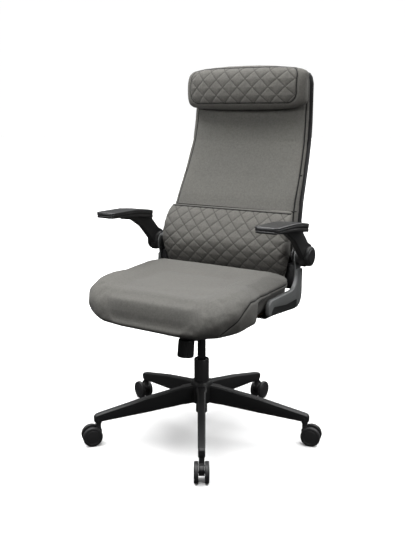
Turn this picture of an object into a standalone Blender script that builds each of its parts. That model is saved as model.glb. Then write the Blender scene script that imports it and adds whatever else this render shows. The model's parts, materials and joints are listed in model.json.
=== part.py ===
"""Office-style gaming chair with flip-up arms: five-star base on twin-wheel casters, gas lift,
tilting seat mechanism, upholstered seat and back, quilted lumbar pad and head pillow.

Everything is laid out from the column axis (x = y = 0 in the chair's own layout), floor at z = 0.
The chair faces -Y, and +X is the sitter's left. The root empty moves the layout so that the origin
is under the middle of the whole chair.
"""
import math

import bmesh
import bpy
from mathutils import Matrix, Vector

# ---- Driving dimensions, in metres -----------------------------------------------------------
COLUMN_X = -0.0055           # the column axis, from the middle of the chair's footprint
COLUMN_Y = -0.0273
GAP = 0.0003                 # between touching pieces

STEM_CIRCLE = 0.350          # caster stems, from the column axis
FIRST_LEG = 33.0             # azimuth of the first leg in degrees, from the front towards +X
LEGS = 5
WHEEL_RADIUS = 0.032
WHEEL_SIDES = 24             # flats round the tread; one of them lies on the floor
WHEEL_TRAIL = 0.022          # axle outboard of the stem
CASTER_HALF_WIDTH = 0.0233
WEB_HALF_WIDTH = 0.0090      # caster housing between its wheels
AXLE_RADIUS = 0.0030
STEM_RADIUS = 0.0055

TUBE_RADIUS = 0.0250         # outer tube of the gas lift
TUBE_NECK = 0.0190           # its tapered lower end, which sticks out below the hub
TUBE_TOP, TUBE_BOTTOM = 0.254, 0.066
TAPER_TOP, TAPER_BOTTOM = 0.150, 0.112
CYLINDER_RADIUS = 0.0140
CYLINDER_TOP = 0.3850
HUB_BOTTOM = 0.105
HUB_TOP = 0.172

TILT_Y, TILT_Z = -0.128, 0.405          # tilt axle
KNOB_Y, KNOB_Z = -0.087, 0.352          # where the tension bolt leaves the mechanism
KNOB_LEAN = math.radians(7)
LEVER_X, LEVER_Z = -0.028, 0.3950       # height lever's pivot

PLATE_TOP = 0.4370           # steel plates under the seat board
BOARD_THICKNESS = 0.0120
SEAT_HALF_WIDTH = 0.2890     # ahead of the side brackets
SEAT_WAIST = 0.2565          # half width between the brackets
SEAT_OVERHANG = 0.2785       # half width of the top edge, which laps over the brackets
SEAT_FRONT, SEAT_REAR = -0.342, 0.128
SEAT_CORNER = 0.170          # front corners in plan

BRACKET_X = 0.2600           # inner face of the steel side brackets
BRACKET_PLATE = 0.0050
COVER_X = 0.2780             # outer face of the bracket covers beside the seat
POST_X = 0.2700              # and of their uprights, inside the arm struts
POST_Y0, POST_Y1 = 0.1380, 0.1730
COVER_ROUND = 0.0050         # rounding of the covers' outer edges
ARM_PIVOT_Y, ARM_PIVOT_Z = 0.157, 0.604
PIVOT_RADIUS = 0.0060
STRUT_X0, STRUT_X1 = 0.2828, 0.3030
PAD_X0, PAD_X1 = 0.2590, 0.3350

SHELL_THICKNESS = 0.0090     # back frame
BACK_BOTTOM, BACK_TOP = 0.480, 1.190
# Back outline by height: z, half width, front of the upholstery, rear of the frame
BACK_PROFILE = (
    (0.480, 0.255, 0.158, 0.204),
    (0.620, 0.256, 0.150, 0.203),
    (0.740, 0.246, 0.179, 0.229),
    (0.860, 0.239, 0.233, 0.276),
    (0.980, 0.231, 0.277, 0.317),
    (1.190, 0.224, 0.300, 0.335),
)
PANEL_BOTTOM = 0.586
LUMBAR_BOTTOM, LUMBAR_TOP = 0.520, 0.738
LUMBAR_HALF_WIDTH = 0.241
LUMBAR_DEPTH = 0.046
PILLOW_BOTTOM, PILLOW_TOP = 1.055, 1.211
PILLOW_HALF_WIDTH = 0.2345
PILLOW_FRONT = 0.203

# ---- Scene and materials ---------------------------------------------------------------------
for old in list(bpy.data.objects):
    bpy.data.objects.remove(old, do_unlink=True)

PARTS = bpy.data.collections.new("gaming_chair")
CUTTERS = bpy.data.collections.new("cutters")
for group in (PARTS, CUTTERS):
    bpy.context.scene.collection.children.link(group)

LOOKS = {  # colour, roughness, metallic
    "moulded_black": ((0.016, 0.016, 0.017), 0.45, 0.0),
    "bracket_grey": ((0.075, 0.077, 0.078), 0.50, 0.0),
    "tread_black": ((0.020, 0.020, 0.021), 0.65, 0.0),
    "painted_steel": ((0.018, 0.018, 0.019), 0.35, 0.6),
    "bright_steel": ((0.55, 0.55, 0.56), 0.28, 1.0),
    "plywood": ((0.45, 0.32, 0.19), 0.75, 0.0),
    "grey_fabric": ((0.150, 0.147, 0.137), 0.95, 0.0),
    "quilted_fabric": ((0.135, 0.131, 0.122), 0.95, 0.0),
    "arm_pad": ((0.030, 0.030, 0.032), 0.55, 0.0),
}


def look(name):
    """The named material, made once."""
    found = bpy.data.materials.get(name)
    if found:
        return found
    colour, roughness, metallic = LOOKS[name]
    made = bpy.data.materials.new(name)
    made.use_nodes = True
    shader = made.node_tree.nodes["Principled BSDF"]
    shader.inputs["Base Color"].default_value = (*colour, 1.0)
    shader.inputs["Roughness"].default_value = roughness
    shader.inputs["Metallic"].default_value = metallic
    return made


# ---- Bodies: one empty on each joint axis ----------------------------------------------------
AXES = {}
PIVOTS = {}


def axis_empty(name, parent, pivot, turn=(0.0, 0.0, 0.0)):
    """An empty at a joint. pivot is in the parent's layout; pieces below it are laid out from it."""
    empty = bpy.data.objects.new(name, None)
    PARTS.objects.link(empty)
    empty.empty_display_size = 0.03
    start = Vector((0, 0, 0))
    if parent:
        empty.parent = AXES[parent]
        start = PIVOTS[parent]
    empty.location = Vector(pivot) - start
    empty.rotation_euler = turn
    AXES[name] = empty
    # A turned or local axis starts a new layout at zero, the others keep the chair's layout
    PIVOTS[name] = Vector((0, 0, 0)) if any(turn) or not parent else Vector(pivot)
    return empty


def settle(obj, body, material, smooth=True):
    """Puts a piece, whose mesh is in the body's layout, under the body's empty."""
    obj.data.transform(Matrix.Translation(-PIVOTS[body]))
    obj.parent = AXES[body]
    obj.data.materials.clear()
    obj.data.materials.append(look(material))
    if smooth:
        obj.data.shade_smooth()
        obj.data.set_sharp_from_angle(angle=math.radians(35))
    return obj


# ---- Shape tools -----------------------------------------------------------------------------
def new_object(name, mesh, group=PARTS):
    obj = bpy.data.objects.new(name, mesh)
    group.objects.link(obj)
    return obj


def from_bmesh(name, shape, group=PARTS):
    mesh = bpy.data.meshes.new(name)
    shape.to_mesh(mesh)
    shape.free()
    return new_object(name, mesh, group)


def face_out(shape):
    """Makes every face of a closed shape point outwards."""
    bmesh.ops.recalc_face_normals(shape, faces=shape.faces)
    if shape.calc_volume(signed=True) < 0:
        bmesh.ops.reverse_faces(shape, faces=shape.faces)


def box(name, low, high, group=PARTS):
    """A box between two corners."""
    low, high = Vector(low), Vector(high)
    shape = bmesh.new()
    bmesh.ops.create_cube(shape, size=1.0)
    bmesh.ops.scale(shape, vec=high - low, verts=shape.verts)
    bmesh.ops.translate(shape, vec=(low + high) / 2, verts=shape.verts)
    return from_bmesh(name, shape, group)


def rod(name, start, end, radius, group=PARTS, sides=16):
    """A plain cylinder from start to end."""
    start, end = Vector(start), Vector(end)
    shape = bmesh.new()
    bmesh.ops.create_cone(shape, cap_ends=True, segments=sides, radius1=radius, radius2=radius,
                          depth=(end - start).length)
    turn = (end - start).to_track_quat("Z", "Y").to_matrix().to_4x4()
    shape.transform(Matrix.Translation((start + end) / 2) @ turn)
    return from_bmesh(name, shape, group)


def turned(name, profile, sides=20, closed=False, group=PARTS):
    """A turned piece about Z. profile lists (radius, z), down the outer side; closed for a ring."""
    mesh = bpy.data.meshes.new(name)
    verts = [(radius, 0.0, z) for radius, z in profile]
    edges = [(i, i + 1) for i in range(len(verts) - 1)]
    if closed:
        edges.append((len(verts) - 1, 0))
    mesh.from_pydata(verts, edges, [])
    obj = new_object(name, mesh, group)
    screw = obj.modifiers.new("turn", "SCREW")
    screw.steps = screw.render_steps = sides
    screw.use_merge_vertices = True
    screw.merge_threshold = 0.00001
    return baked(obj)


def baked(obj):
    """Replaces an object's mesh by its evaluated mesh, with its modifiers applied."""
    graph = bpy.context.evaluated_depsgraph_get()
    graph.update()
    mesh = bpy.data.meshes.new_from_object(obj.evaluated_get(graph))
    obj.modifiers.clear()
    obj.data = mesh
    mesh.name = obj.name
    return obj


def rounded(corners, steps=4):
    """An outline from (u, v, corner radius) points, with its corners as arcs."""
    outline = []
    count = len(corners)
    for i, (u, v, radius) in enumerate(corners):
        here = Vector((u, v))
        if radius <= 0:
            outline.append(here)
            continue
        before = (Vector(corners[i - 1][:2]) - here).normalized()
        after = (Vector(corners[(i + 1) % count][:2]) - here).normalized()
        half = before.angle(after) / 2
        reach = radius / math.tan(half)
        centre = here + (before + after).normalized() * (radius / math.sin(half))
        first, last = here + before * reach - centre, here + after * reach - centre
        sweep = first.angle_signed(last)
        for k in range(steps + 1):
            arm = first.copy()
            arm.rotate(Matrix.Rotation(-sweep * k / steps, 2))
            outline.append(centre + arm)
    return outline


def slab(name, outline, low, high, plane="YZ", group=PARTS):
    """A flat piece: outline in the plane, filled and extruded from low to high along its normal."""
    curve = bpy.data.curves.new(name, "CURVE")
    curve.dimensions = "2D"
    curve.fill_mode = "BOTH"
    curve.extrude = (high - low) / 2
    spline = curve.splines.new("POLY")
    spline.points.add(len(outline) - 1)
    for point, (u, v) in zip(spline.points, outline):
        point.co = (u, v, 0.0, 1.0)
    spline.use_cyclic_u = True
    helper = new_object(name + "_outline", curve, CUTTERS)
    graph = bpy.context.evaluated_depsgraph_get()
    graph.update()
    mesh = bpy.data.meshes.new_from_object(helper.evaluated_get(graph))
    bpy.data.objects.remove(helper, do_unlink=True)
    bpy.data.curves.remove(curve)
    shape = bmesh.new()
    shape.from_mesh(mesh)
    bmesh.ops.remove_doubles(shape, verts=shape.verts, dist=0.00001)
    face_out(shape)
    bmesh.ops.dissolve_limit(shape, angle_limit=math.radians(0.5), verts=shape.verts,
                             edges=shape.edges)
    bpy.data.meshes.remove(mesh)
    middle = (low + high) / 2
    if plane == "YZ":
        shape.transform(Matrix.Translation((middle, 0, 0)) @ Matrix.Rotation(math.pi / 2, 4, "Z")
                        @ Matrix.Rotation(math.pi / 2, 4, "X"))
    else:
        shape.transform(Matrix.Translation((0, 0, middle)))
    return from_bmesh(name, shape, group)


def loft(name, rings, group=PARTS):
    """A closed solid through rings of equally many points, with flat ends."""
    shape = bmesh.new()
    rows = [[shape.verts.new(point) for point in ring] for ring in rings]
    count = len(rows[0])
    for lower, upper in zip(rows, rows[1:]):
        for k in range(count):
            shape.faces.new((lower[k], lower[(k + 1) % count], upper[(k + 1) % count], upper[k]))
    shape.faces.new(reversed(rows[0]))
    shape.faces.new(rows[-1])
    face_out(shape)
    return from_bmesh(name, shape, group)


def combine(obj, tool, how="DIFFERENCE"):
    """Cuts or joins obj by another object, which stays among the cutters."""
    step = obj.modifiers.new(how.lower(), "BOOLEAN")
    step.operation = how
    step.solver = "EXACT"
    step.object = tool
    tool.hide_render = True
    tool.display_type = "WIRE"
    return obj


def soften(obj, width, segments=2, angle=40):
    """Rounds the sharp edges."""
    step = obj.modifiers.new("round", "BEVEL")
    step.width = width
    step.segments = segments
    step.limit_method = "ANGLE"
    step.angle_limit = math.radians(angle)
    step.use_clamp_overlap = True
    return obj


def mirrored(obj, name):
    """A copy of a piece on the other side of the chair's middle plane, with its own mesh."""
    mesh = obj.data.copy()
    mesh.transform(Matrix.Scale(-1, 4, (1, 0, 0)))
    mesh.flip_normals()
    return new_object(name, mesh)


def smooth_step(t):
    t = min(max(t, 0.0), 1.0)
    return t * t * (3 - 2 * t)


def along(table, z, column):
    """A smooth reading of one column of a table whose first column is z."""
    for row, following in zip(table, table[1:]):
        if z <= following[0]:
            break
    span = following[0] - row[0]
    t = min(max((z - row[0]) / span, 0.0), 1.0)
    i = table.index(row)
    before = table[max(i - 1, 0)]
    after = table[min(i + 2, len(table) - 1)]
    slope0 = (following[column] - before[column]) / (following[0] - before[0]) * span
    slope1 = (after[column] - row[column]) / (after[0] - row[0]) * span
    a, b = row[column], following[column]
    return (a * (2 * t ** 3 - 3 * t ** 2 + 1) + b * (3 * t ** 2 - 2 * t ** 3)
            + slope0 * (t ** 3 - 2 * t ** 2 + t) + slope1 * (t ** 3 - t ** 2))


# ---- Base and casters ------------------------------------------------------------------------
def leg_directions():
    """Turn of each leg about Z, for a leg laid out along +X."""
    return [math.radians(FIRST_LEG + 360 / LEGS * k) - math.pi / 2 for k in range(LEGS)]


def leg_ring(reach, half, bottom, top, chamfer=0.004):
    return [
        (reach, -half * 0.85, bottom), (reach, half * 0.85, bottom), (reach, half, top - chamfer),
        (reach, half - chamfer, top), (reach, -half + chamfer, top), (reach, -half, top - chamfer),
    ]


def star_base():
    """Hub, five legs with bevelled tops, and a stem socket under each leg's end."""
    base = turned("star_base", [
        (0.0120, 0.178), (0.0310, 0.178), (0.0330, 0.176), (0.0360, HUB_TOP - 0.004),
        (0.0380, HUB_TOP - 0.010), (0.0370, HUB_BOTTOM + 0.002), (0.0350, HUB_BOTTOM),
        (0.0120, HUB_BOTTOM),
    ], sides=24, closed=True)
    stations = (  # reach, half width, bottom, top
        (0.0300, 0.0170, 0.1060, 0.1660), (0.0620, 0.0170, 0.1040, 0.1630),
        (0.0700, 0.0135, 0.1030, 0.1610), (0.1950, 0.0120, 0.0900, 0.1390),
        (0.3480, 0.0112, 0.0770, 0.1045), (0.3590, 0.0105, 0.0775, 0.1010),
        (0.3640, 0.0085, 0.0785, 0.0950),
    )
    for k, turn in enumerate(leg_directions()):
        leg = loft(f"leg_{k}", [leg_ring(*row) for row in stations], CUTTERS)
        socket = rod(f"socket_{k}", (STEM_CIRCLE, 0, 0.0700), (STEM_CIRCLE, 0, 0.0900), 0.0108,
                     CUTTERS, 12)
        bore = rod(f"stem_bore_{k}", (STEM_CIRCLE, 0, 0.0600), (STEM_CIRCLE, 0, 0.0980),
                   STEM_RADIUS + GAP, CUTTERS, 12)
        for tool, how in ((leg, "UNION"), (socket, "UNION"), (bore, "DIFFERENCE")):
            tool.data.transform(Matrix.Rotation(turn, 4, "Z"))
            tool.parent = AXES["base"]
            combine(base, tool, how)
    clear = turned("tube_bore", [
        (0, 0.200), (TUBE_RADIUS + GAP, 0.200), (TUBE_RADIUS + GAP, TAPER_TOP),
        (TUBE_NECK + GAP, TAPER_BOTTOM), (TUBE_NECK + GAP, 0.080), (0, 0.080),
    ], sides=24, group=CUTTERS)
    clear.parent = AXES["base"]
    combine(base, clear)
    return settle(base, "base", "moulded_black")


def caster_stem(k, turn):
    """A steel stem pressed into its leg, with a collar under the socket."""
    stem = turned(f"caster_stem_{k}", [
        (0, 0.0975), (0.0045, 0.0975), (STEM_RADIUS, 0.0965), (STEM_RADIUS, 0.0697),
        (0.0080, 0.0697), (0.0080, 0.0675), (STEM_RADIUS, 0.0675), (STEM_RADIUS, 0.0415),
        (0, 0.0415),
    ], sides=12)
    stem.data.transform(Matrix.Rotation(turn, 4, "Z") @ Matrix.Translation((STEM_CIRCLE, 0, 0)))
    settle(stem, "base", "painted_steel")


def caster(k, turn):
    """One twin-wheel caster; its stem is at the local origin and its axle, one with the hood,
    lies outboard."""
    swivel = f"caster_{k}"
    pivot = Matrix.Rotation(turn, 4, "Z") @ Vector((STEM_CIRCLE, 0, 0))
    axis_empty(swivel, "base", pivot, (0, 0, turn))
    hub = Vector((WHEEL_TRAIL, 0, WHEEL_RADIUS))

    web = WEB_HALF_WIDTH
    hood = slab(f"caster_hood_{k}", rounded([
        (-0.0092, 0.0530, 0.003), (-0.0092, 0.0400, 0.004), (0.0100, 0.0250, 0.006),
        (0.0170, 0.0215, 0.004), (0.0325, 0.0215, 0.0100), (0.0325, 0.0430, 0.008),
        (0.0240, 0.0530, 0.008)], 3), -web, web)
    hood.data.transform(Matrix.Rotation(-math.pi / 2, 4, "Z"))
    neck = rod(f"neck_{k}", (0, 0, 0.045), (0, 0, 0.0672), 0.0084, CUTTERS, 12)
    stem_hole = rod(f"hood_stem_hole_{k}", (0, 0, 0.0411), (0, 0, 0.08), STEM_RADIUS + GAP,
                    CUTTERS, 12)
    reach = CASTER_HALF_WIDTH - 0.006
    axle = rod(f"axle_{k}", hub - Vector((0, reach, 0)), hub + Vector((0, reach, 0)), AXLE_RADIUS,
               CUTTERS, 12)
    for tool, how in ((neck, "UNION"), (stem_hole, "DIFFERENCE"), (axle, "UNION")):
        tool.parent = AXES[swivel]
        combine(hood, tool, how)
    settle(hood, swivel, "moulded_black")

    width = CASTER_HALF_WIDTH - WEB_HALF_WIDTH - 0.0005
    tread = WHEEL_RADIUS / math.cos(math.pi / WHEEL_SIDES)
    for side, facing in (("a", 1), ("b", -1)):
        spin = f"wheel_{k}{side}"
        axis_empty(f"{spin}_axis", swivel, hub)
        wheel = turned(spin, [
            (0, width), (0.0300, width - 0.0010), (tread, width - 0.0030), (tread, 0.0008),
            (0.0308, 0),
            (AXLE_RADIUS + GAP, 0), (AXLE_RADIUS + GAP, reach - WEB_HALF_WIDTH + 0.0005),
            (0, reach - WEB_HALF_WIDTH + 0.0005),
        ], sides=WHEEL_SIDES)
        place = Matrix.Translation(hub + Vector((0, facing * (WEB_HALF_WIDTH + 0.0005), 0)))
        wheel.data.transform(place @ Matrix.Rotation(-facing * math.pi / 2, 4, "X")
                             @ Matrix.Rotation(math.pi / WHEEL_SIDES, 4, "Z"))
        settle(wheel, f"{spin}_axis", "tread_black")


# ---- Gas lift --------------------------------------------------------------------------------
def gas_lift():
    """Outer tube with guide bushing and clip, piston rod on a thrust bearing, and gas cylinder."""
    inner = TUBE_RADIUS - 0.0020
    neck = TUBE_NECK - 0.0020
    floor = TUBE_BOTTOM + 0.0040
    tube = turned("column_tube", [
        (inner, TUBE_TOP), (TUBE_RADIUS - 0.0015, TUBE_TOP), (TUBE_RADIUS, TUBE_TOP - 0.0020),
        (TUBE_RADIUS, TAPER_TOP), (TUBE_NECK, TAPER_BOTTOM), (TUBE_NECK, TUBE_BOTTOM),
        (0.0055, TUBE_BOTTOM), (0.0055, floor), (neck, floor),
        (neck, TAPER_BOTTOM), (inner, TAPER_TOP),
    ], sides=24, closed=True)
    settle(tube, "base", "painted_steel")
    bushing = turned("guide_bushing", [
        (CYLINDER_RADIUS + GAP, 0.2495), (0.0200, 0.2495), (inner - GAP, 0.2475),
        (inner - GAP, 0.1800), (CYLINDER_RADIUS + GAP, 0.1800),
    ], sides=24, closed=True)
    settle(bushing, "base", "moulded_black")
    washer = floor + 0.0003
    bearing = turned("thrust_bearing", [
        (0.0055, washer + 0.0057), (0.0120, washer + 0.0057), (0.0120, washer + 0.0042),
        (0.0110, washer + 0.0039), (0.0110, washer + 0.0015), (0.0120, washer + 0.0012),
        (0.0120, washer), (0.0055, washer),
    ], sides=16, closed=True)
    settle(bearing, "base", "bright_steel")
    clip_top = TUBE_BOTTOM - 0.0005
    clip = turned("retaining_clip", [
        (0.0043, clip_top), (0.0095, clip_top), (0.0095, clip_top - 0.0012),
        (0.0043, clip_top - 0.0012),
    ], sides=16, closed=True)
    settle(clip, "piston", "bright_steel")
    shoulder = washer + 0.0060
    piston = turned("piston_rod", [
        (0, 0.2450), (0.0115, 0.2450), (0.0115, 0.2350), (0.0050, 0.2350),
        (0.0050, shoulder + 0.0010), (0.0068, shoulder + 0.0010), (0.0068, shoulder),
        (0.0050, shoulder), (0.0050, clip_top + 0.0003), (0.0040, clip_top + 0.0003),
        (0.0040, clip_top - 0.0015), (0.0050, clip_top - 0.0018), (0.0050, clip_top - 0.0045),
        (0, clip_top - 0.0045),
    ], sides=16)
    settle(piston, "piston", "bright_steel")
    cylinder = turned("gas_cylinder", [
        (0.0046, CYLINDER_TOP), (0.0125, CYLINDER_TOP), (CYLINDER_RADIUS, CYLINDER_TOP - 0.030),
        (CYLINDER_RADIUS, 0.1900), (0.0125, 0.1880), (0.0053, 0.1880), (0.0053, 0.1980),
        (0.0118, 0.1980), (0.0118, 0.3300), (0.0046, 0.3300),
    ], sides=20, closed=True)
    settle(cylinder, "mechanism", "painted_steel")
    button = turned("valve_button", [
        (0, 0.3930), (0.0012, 0.3928), (0.0025, 0.3920), (0.0036, 0.3905), (0.0042, 0.3880),
        (0.0042, 0.3360), (0, 0.3360),
    ], sides=12)
    settle(button, "valve", "bright_steel")


# ---- Tilt mechanism --------------------------------------------------------------------------
def tilt_mechanism():
    """Pressed tray on the cylinder's cone, with the tension spring, its bolt and its knob."""
    outer = [(-0.146, 0.418, 0), (-0.146, 0.376, 0.004), (-0.118, 0.352, 0.006), (0.050, 0.352, 0.006),
             (0.080, 0.365, 0.004), (0.080, 0.386, 0), (0.020, 0.398, 0), (-0.100, 0.418, 0)]
    inner = [(-0.143, 0.440, 0), (-0.143, 0.3775, 0.003), (-0.117, 0.355, 0.004),
             (0.049, 0.355, 0.004), (0.077, 0.367, 0.003), (0.077, 0.440, 0)]
    tray = slab("mechanism_housing", rounded(outer), -0.058, 0.058)
    hollow = slab("tray_hollow", rounded(inner), -0.055, 0.055, group=CUTTERS)
    cone = rod("tray_socket", (0, 0, 0.346), (0, 0, 0.3800), 0.0210, CUTTERS, 20)
    cone_bore = turned("tray_socket_bore", [
        (0, 0.39), (0.0125 + GAP, 0.39), (0.0125 + GAP, CYLINDER_TOP),
        (CYLINDER_RADIUS + GAP, CYLINDER_TOP - 0.030), (CYLINDER_RADIUS + GAP, 0.33), (0, 0.33),
    ], sides=20, group=CUTTERS)
    axle_hole = rod("tray_axle_hole", (-0.1, TILT_Y, TILT_Z), (0.1, TILT_Y, TILT_Z), 0.0053,
                    CUTTERS)
    lever_slot = box("tray_lever_slot", (-0.07, -0.009, 0.3860), (-0.04, 0.009, 0.43), CUTTERS)
    down = Matrix.Rotation(-KNOB_LEAN, 3, "X") @ Vector((0, 0, -1))
    bolt_start = Vector((0, KNOB_Y, KNOB_Z)) - down * 0.03
    bolt_hole = rod("tray_bolt_hole", bolt_start, bolt_start + down * 0.06, 0.0053, CUTTERS)
    for tool, how in ((hollow, "DIFFERENCE"), (cone, "UNION"), (cone_bore, "DIFFERENCE"),
                      (axle_hole, "DIFFERENCE"), (lever_slot, "DIFFERENCE"),
                      (bolt_hole, "DIFFERENCE")):
        tool.data.transform(Matrix.Translation(-PIVOTS["mechanism"]))
        tool.parent = AXES["mechanism"]
        combine(tray, tool, how)
    settle(tray, "mechanism", "painted_steel")

    axle = rod("tilt_axle", (-0.0660, TILT_Y, TILT_Z), (0.0660, TILT_Y, TILT_Z), 0.0050)
    settle(axle, "mechanism", "bright_steel")

    knob = turned("tension_knob", [
        (0, -0.0500), (0.0053, -0.0500), (0.0053, -0.0090), (0.0190, -0.0090),
        (0.0255, -0.0115), (0.0262, -0.0150), (0.0270, -0.0640), (0.0257, -0.0675), (0, -0.0675),
    ], sides=24)
    settle(knob, "tension_knob_axis", "moulded_black")
    bolt = turned("tension_bolt", [
        (0, 0.0560), (0.0040, 0.0560), (0.0050, 0.0545), (0.0050, 0.0088), (0.0160, 0.0088),
        (0.0160, 0.0066), (0.0050, 0.0066), (0.0050, -0.0490), (0, -0.0490),
    ], sides=16)
    settle(bolt, "tension_knob_axis", "bright_steel")

    # Compression spring between the bolt's collar and the seat plate
    coils, per_coil, mean_radius, wire_radius = 4, 8, 0.0122, 0.0022
    bottom, top = 0.0088 + wire_radius + 0.0010, 0.0760
    curve = bpy.data.curves.new("tension_spring", "CURVE")
    curve.dimensions = "3D"
    curve.bevel_depth = wire_radius
    curve.bevel_resolution = 1
    curve.use_fill_caps = True
    spline = curve.splines.new("POLY")
    spline.points.add(coils * per_coil)
    for i, point in enumerate(spline.points):
        angle = 2 * math.pi * i / per_coil
        z = bottom + (top - bottom) * i / (coils * per_coil)
        point.co = (mean_radius * math.cos(angle), mean_radius * math.sin(angle), z, 1.0)
    spring = new_object("tension_spring", curve)
    graph = bpy.context.evaluated_depsgraph_get()
    graph.update()
    mesh = bpy.data.meshes.new_from_object(spring.evaluated_get(graph))
    bpy.data.objects.remove(spring, do_unlink=True)
    shape = bmesh.new()
    shape.from_mesh(mesh)
    bmesh.ops.remove_doubles(shape, verts=shape.verts, dist=0.00001)
    spring = from_bmesh("tension_spring", shape)
    settle(spring, "spring_axis", "bright_steel")


def lever():
    """Height lever: lifting its grip presses the gas valve, pulling it out frees the tilt."""
    slider = box("lock_slider", (-0.0480, -0.0080, 0.3870), (-0.0170, 0.0080, 0.4020))
    slot = box("slider_slot", (-0.0600, -0.0046, 0.3800), (-0.0100, 0.0046, 0.4100), CUTTERS)
    base_plate = box("slider_floor", (-0.0480, -0.0080, 0.3870), (-0.0400, 0.0080, 0.3885), CUTTERS)
    pin = rod("slider_pin", (LEVER_X, -0.007, LEVER_Z), (LEVER_X, 0.007, LEVER_Z), 0.0020, CUTTERS,
              12)
    for tool, how in ((slot, "DIFFERENCE"), (base_plate, "UNION"), (pin, "UNION")):
        tool.data.transform(Matrix.Translation(-PIVOTS["lock_slider_axis"]))
        tool.parent = AXES["lock_slider_axis"]
        combine(slider, tool, how)
    settle(slider, "lock_slider_axis", "bright_steel")

    # The bar runs out over the valve button, through the tray wall, and down to the grip
    route = [(0.0120, 0.3980, 0), (0.0120, 0.3949, 0), (0, 0.3933, 0), (-0.0500, 0.3933, 0.004),
             (-0.1050, 0.3690, 0.006), (-0.2150, 0.3690, 0), (-0.2150, 0.3750, 0),
             (-0.1040, 0.3750, 0.006), (-0.0480, 0.3993, 0.004), (-0.0200, 0.3993, 0)]
    bar = slab("height_lever", [(-x, z) for x, z in rounded(route)], -0.0040, 0.0040)
    bar.data.transform(Matrix.Rotation(math.pi / 2, 4, "Z"))
    pin_hole = rod("lever_pin_hole", (LEVER_X, -0.01, LEVER_Z), (LEVER_X, 0.01, LEVER_Z), 0.0023,
                   CUTTERS, 12)
    pin_hole.data.transform(Matrix.Translation(-PIVOTS["height_lever_axis"]))
    pin_hole.parent = AXES["height_lever_axis"]
    combine(bar, pin_hole)
    settle(bar, "height_lever_axis", "painted_steel")

    grip = box("lever_grip", (-0.2500, -0.0170, 0.3650), (-0.1750, 0.0170, 0.3790))
    soften(grip, 0.0055, 2)
    bore = box("grip_bore", (-0.2153, -0.0043, 0.3687), (-0.16, 0.0043, 0.3753), CUTTERS)
    bore.data.transform(Matrix.Translation(-PIVOTS["height_lever_axis"]))
    bore.parent = AXES["height_lever_axis"]
    combine(grip, bore)
    settle(grip, "height_lever_axis", "moulded_black")


# ---- Seat ------------------------------------------------------------------------------------
SEAT_BOLTS = [(x, y) for x in (-0.080, 0.080) for y in (-0.110, 0.070)]
FOOT_BOLTS = [(x, y) for x in (-0.215, 0.215) for y in (-0.010, 0.070)]
SIDE_BOLT_HEIGHTS = (0.524, 0.558)
SIDE_BOLT_Y = 0.1550


def board_bolt(name, x, y):
    """A bolt with its head under a steel plate, one with the plate, pointing up into the board."""
    bolt = turned(name, [
        (0, 0.4465), (0.0030, 0.4460), (0.0030, PLATE_TOP - 0.0020), (0.0055, PLATE_TOP - 0.0020),
        (0.0055, PLATE_TOP - 0.0085), (0, PLATE_TOP - 0.0085),
    ], sides=12, group=CUTTERS)
    bolt.data.transform(Matrix.Translation((x, y, 0)))
    return bolt


def seat_outline(inset, waist, taper, fuller, steps=4, between=2):
    """The seat in plan: broad and round in front, narrower between the side brackets. taper gives
    where its sides start and end to draw in, fuller how much its front corners open out."""
    half, waist = SEAT_HALF_WIDTH - inset, waist - inset
    rear_half = min(waist - 0.001, 0.2655 - inset)
    front, rear = SEAT_FRONT + inset, SEAT_REAR - inset
    corner = SEAT_CORNER - inset * 0.95 - fuller
    side = [(half, taper[0], 0.008), (waist, taper[1], 0.008), (waist, rear - 0.048, 0.050),
            (rear_half, rear - 0.020, 0.010), (rear_half - 0.012, rear, 0.016)]
    arcs = rounded([(-half, front, corner), (half, front, corner), *side,
                    *[(-x, y, radius) for x, y, radius in reversed(side)]], steps)
    outline = []
    for i, point in enumerate(arcs):
        outline.append(point)
        if i % (steps + 1) == steps:
            following = arcs[(i + 1) % len(arcs)]
            outline += [point.lerp(following, k / (between + 1)) for k in range(1, between + 1)]
    return outline


def seat_seam(y):
    """Height of the seam round the seat's top: nearly level, falling over the front."""
    return 0.5265 + 0.065 * max(y, -0.100) - 0.075 * max(0.0, (-0.140 - y) / 0.202) ** 2


def seat_crown(inset):
    """Rise of the top above its seam: full just inside the edge, dished in the middle."""
    rise = 0.028 * math.sin(min(inset / 0.060, 1.0) * math.pi / 2)
    return rise - 0.024 * smooth_step((inset - 0.060) / 0.120)


def seat_underside(y):
    """The lower edge drops a little towards the front."""
    return PLATE_TOP + 2 * GAP - 0.015 * smooth_step((-0.140 - y) / 0.150)


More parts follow.
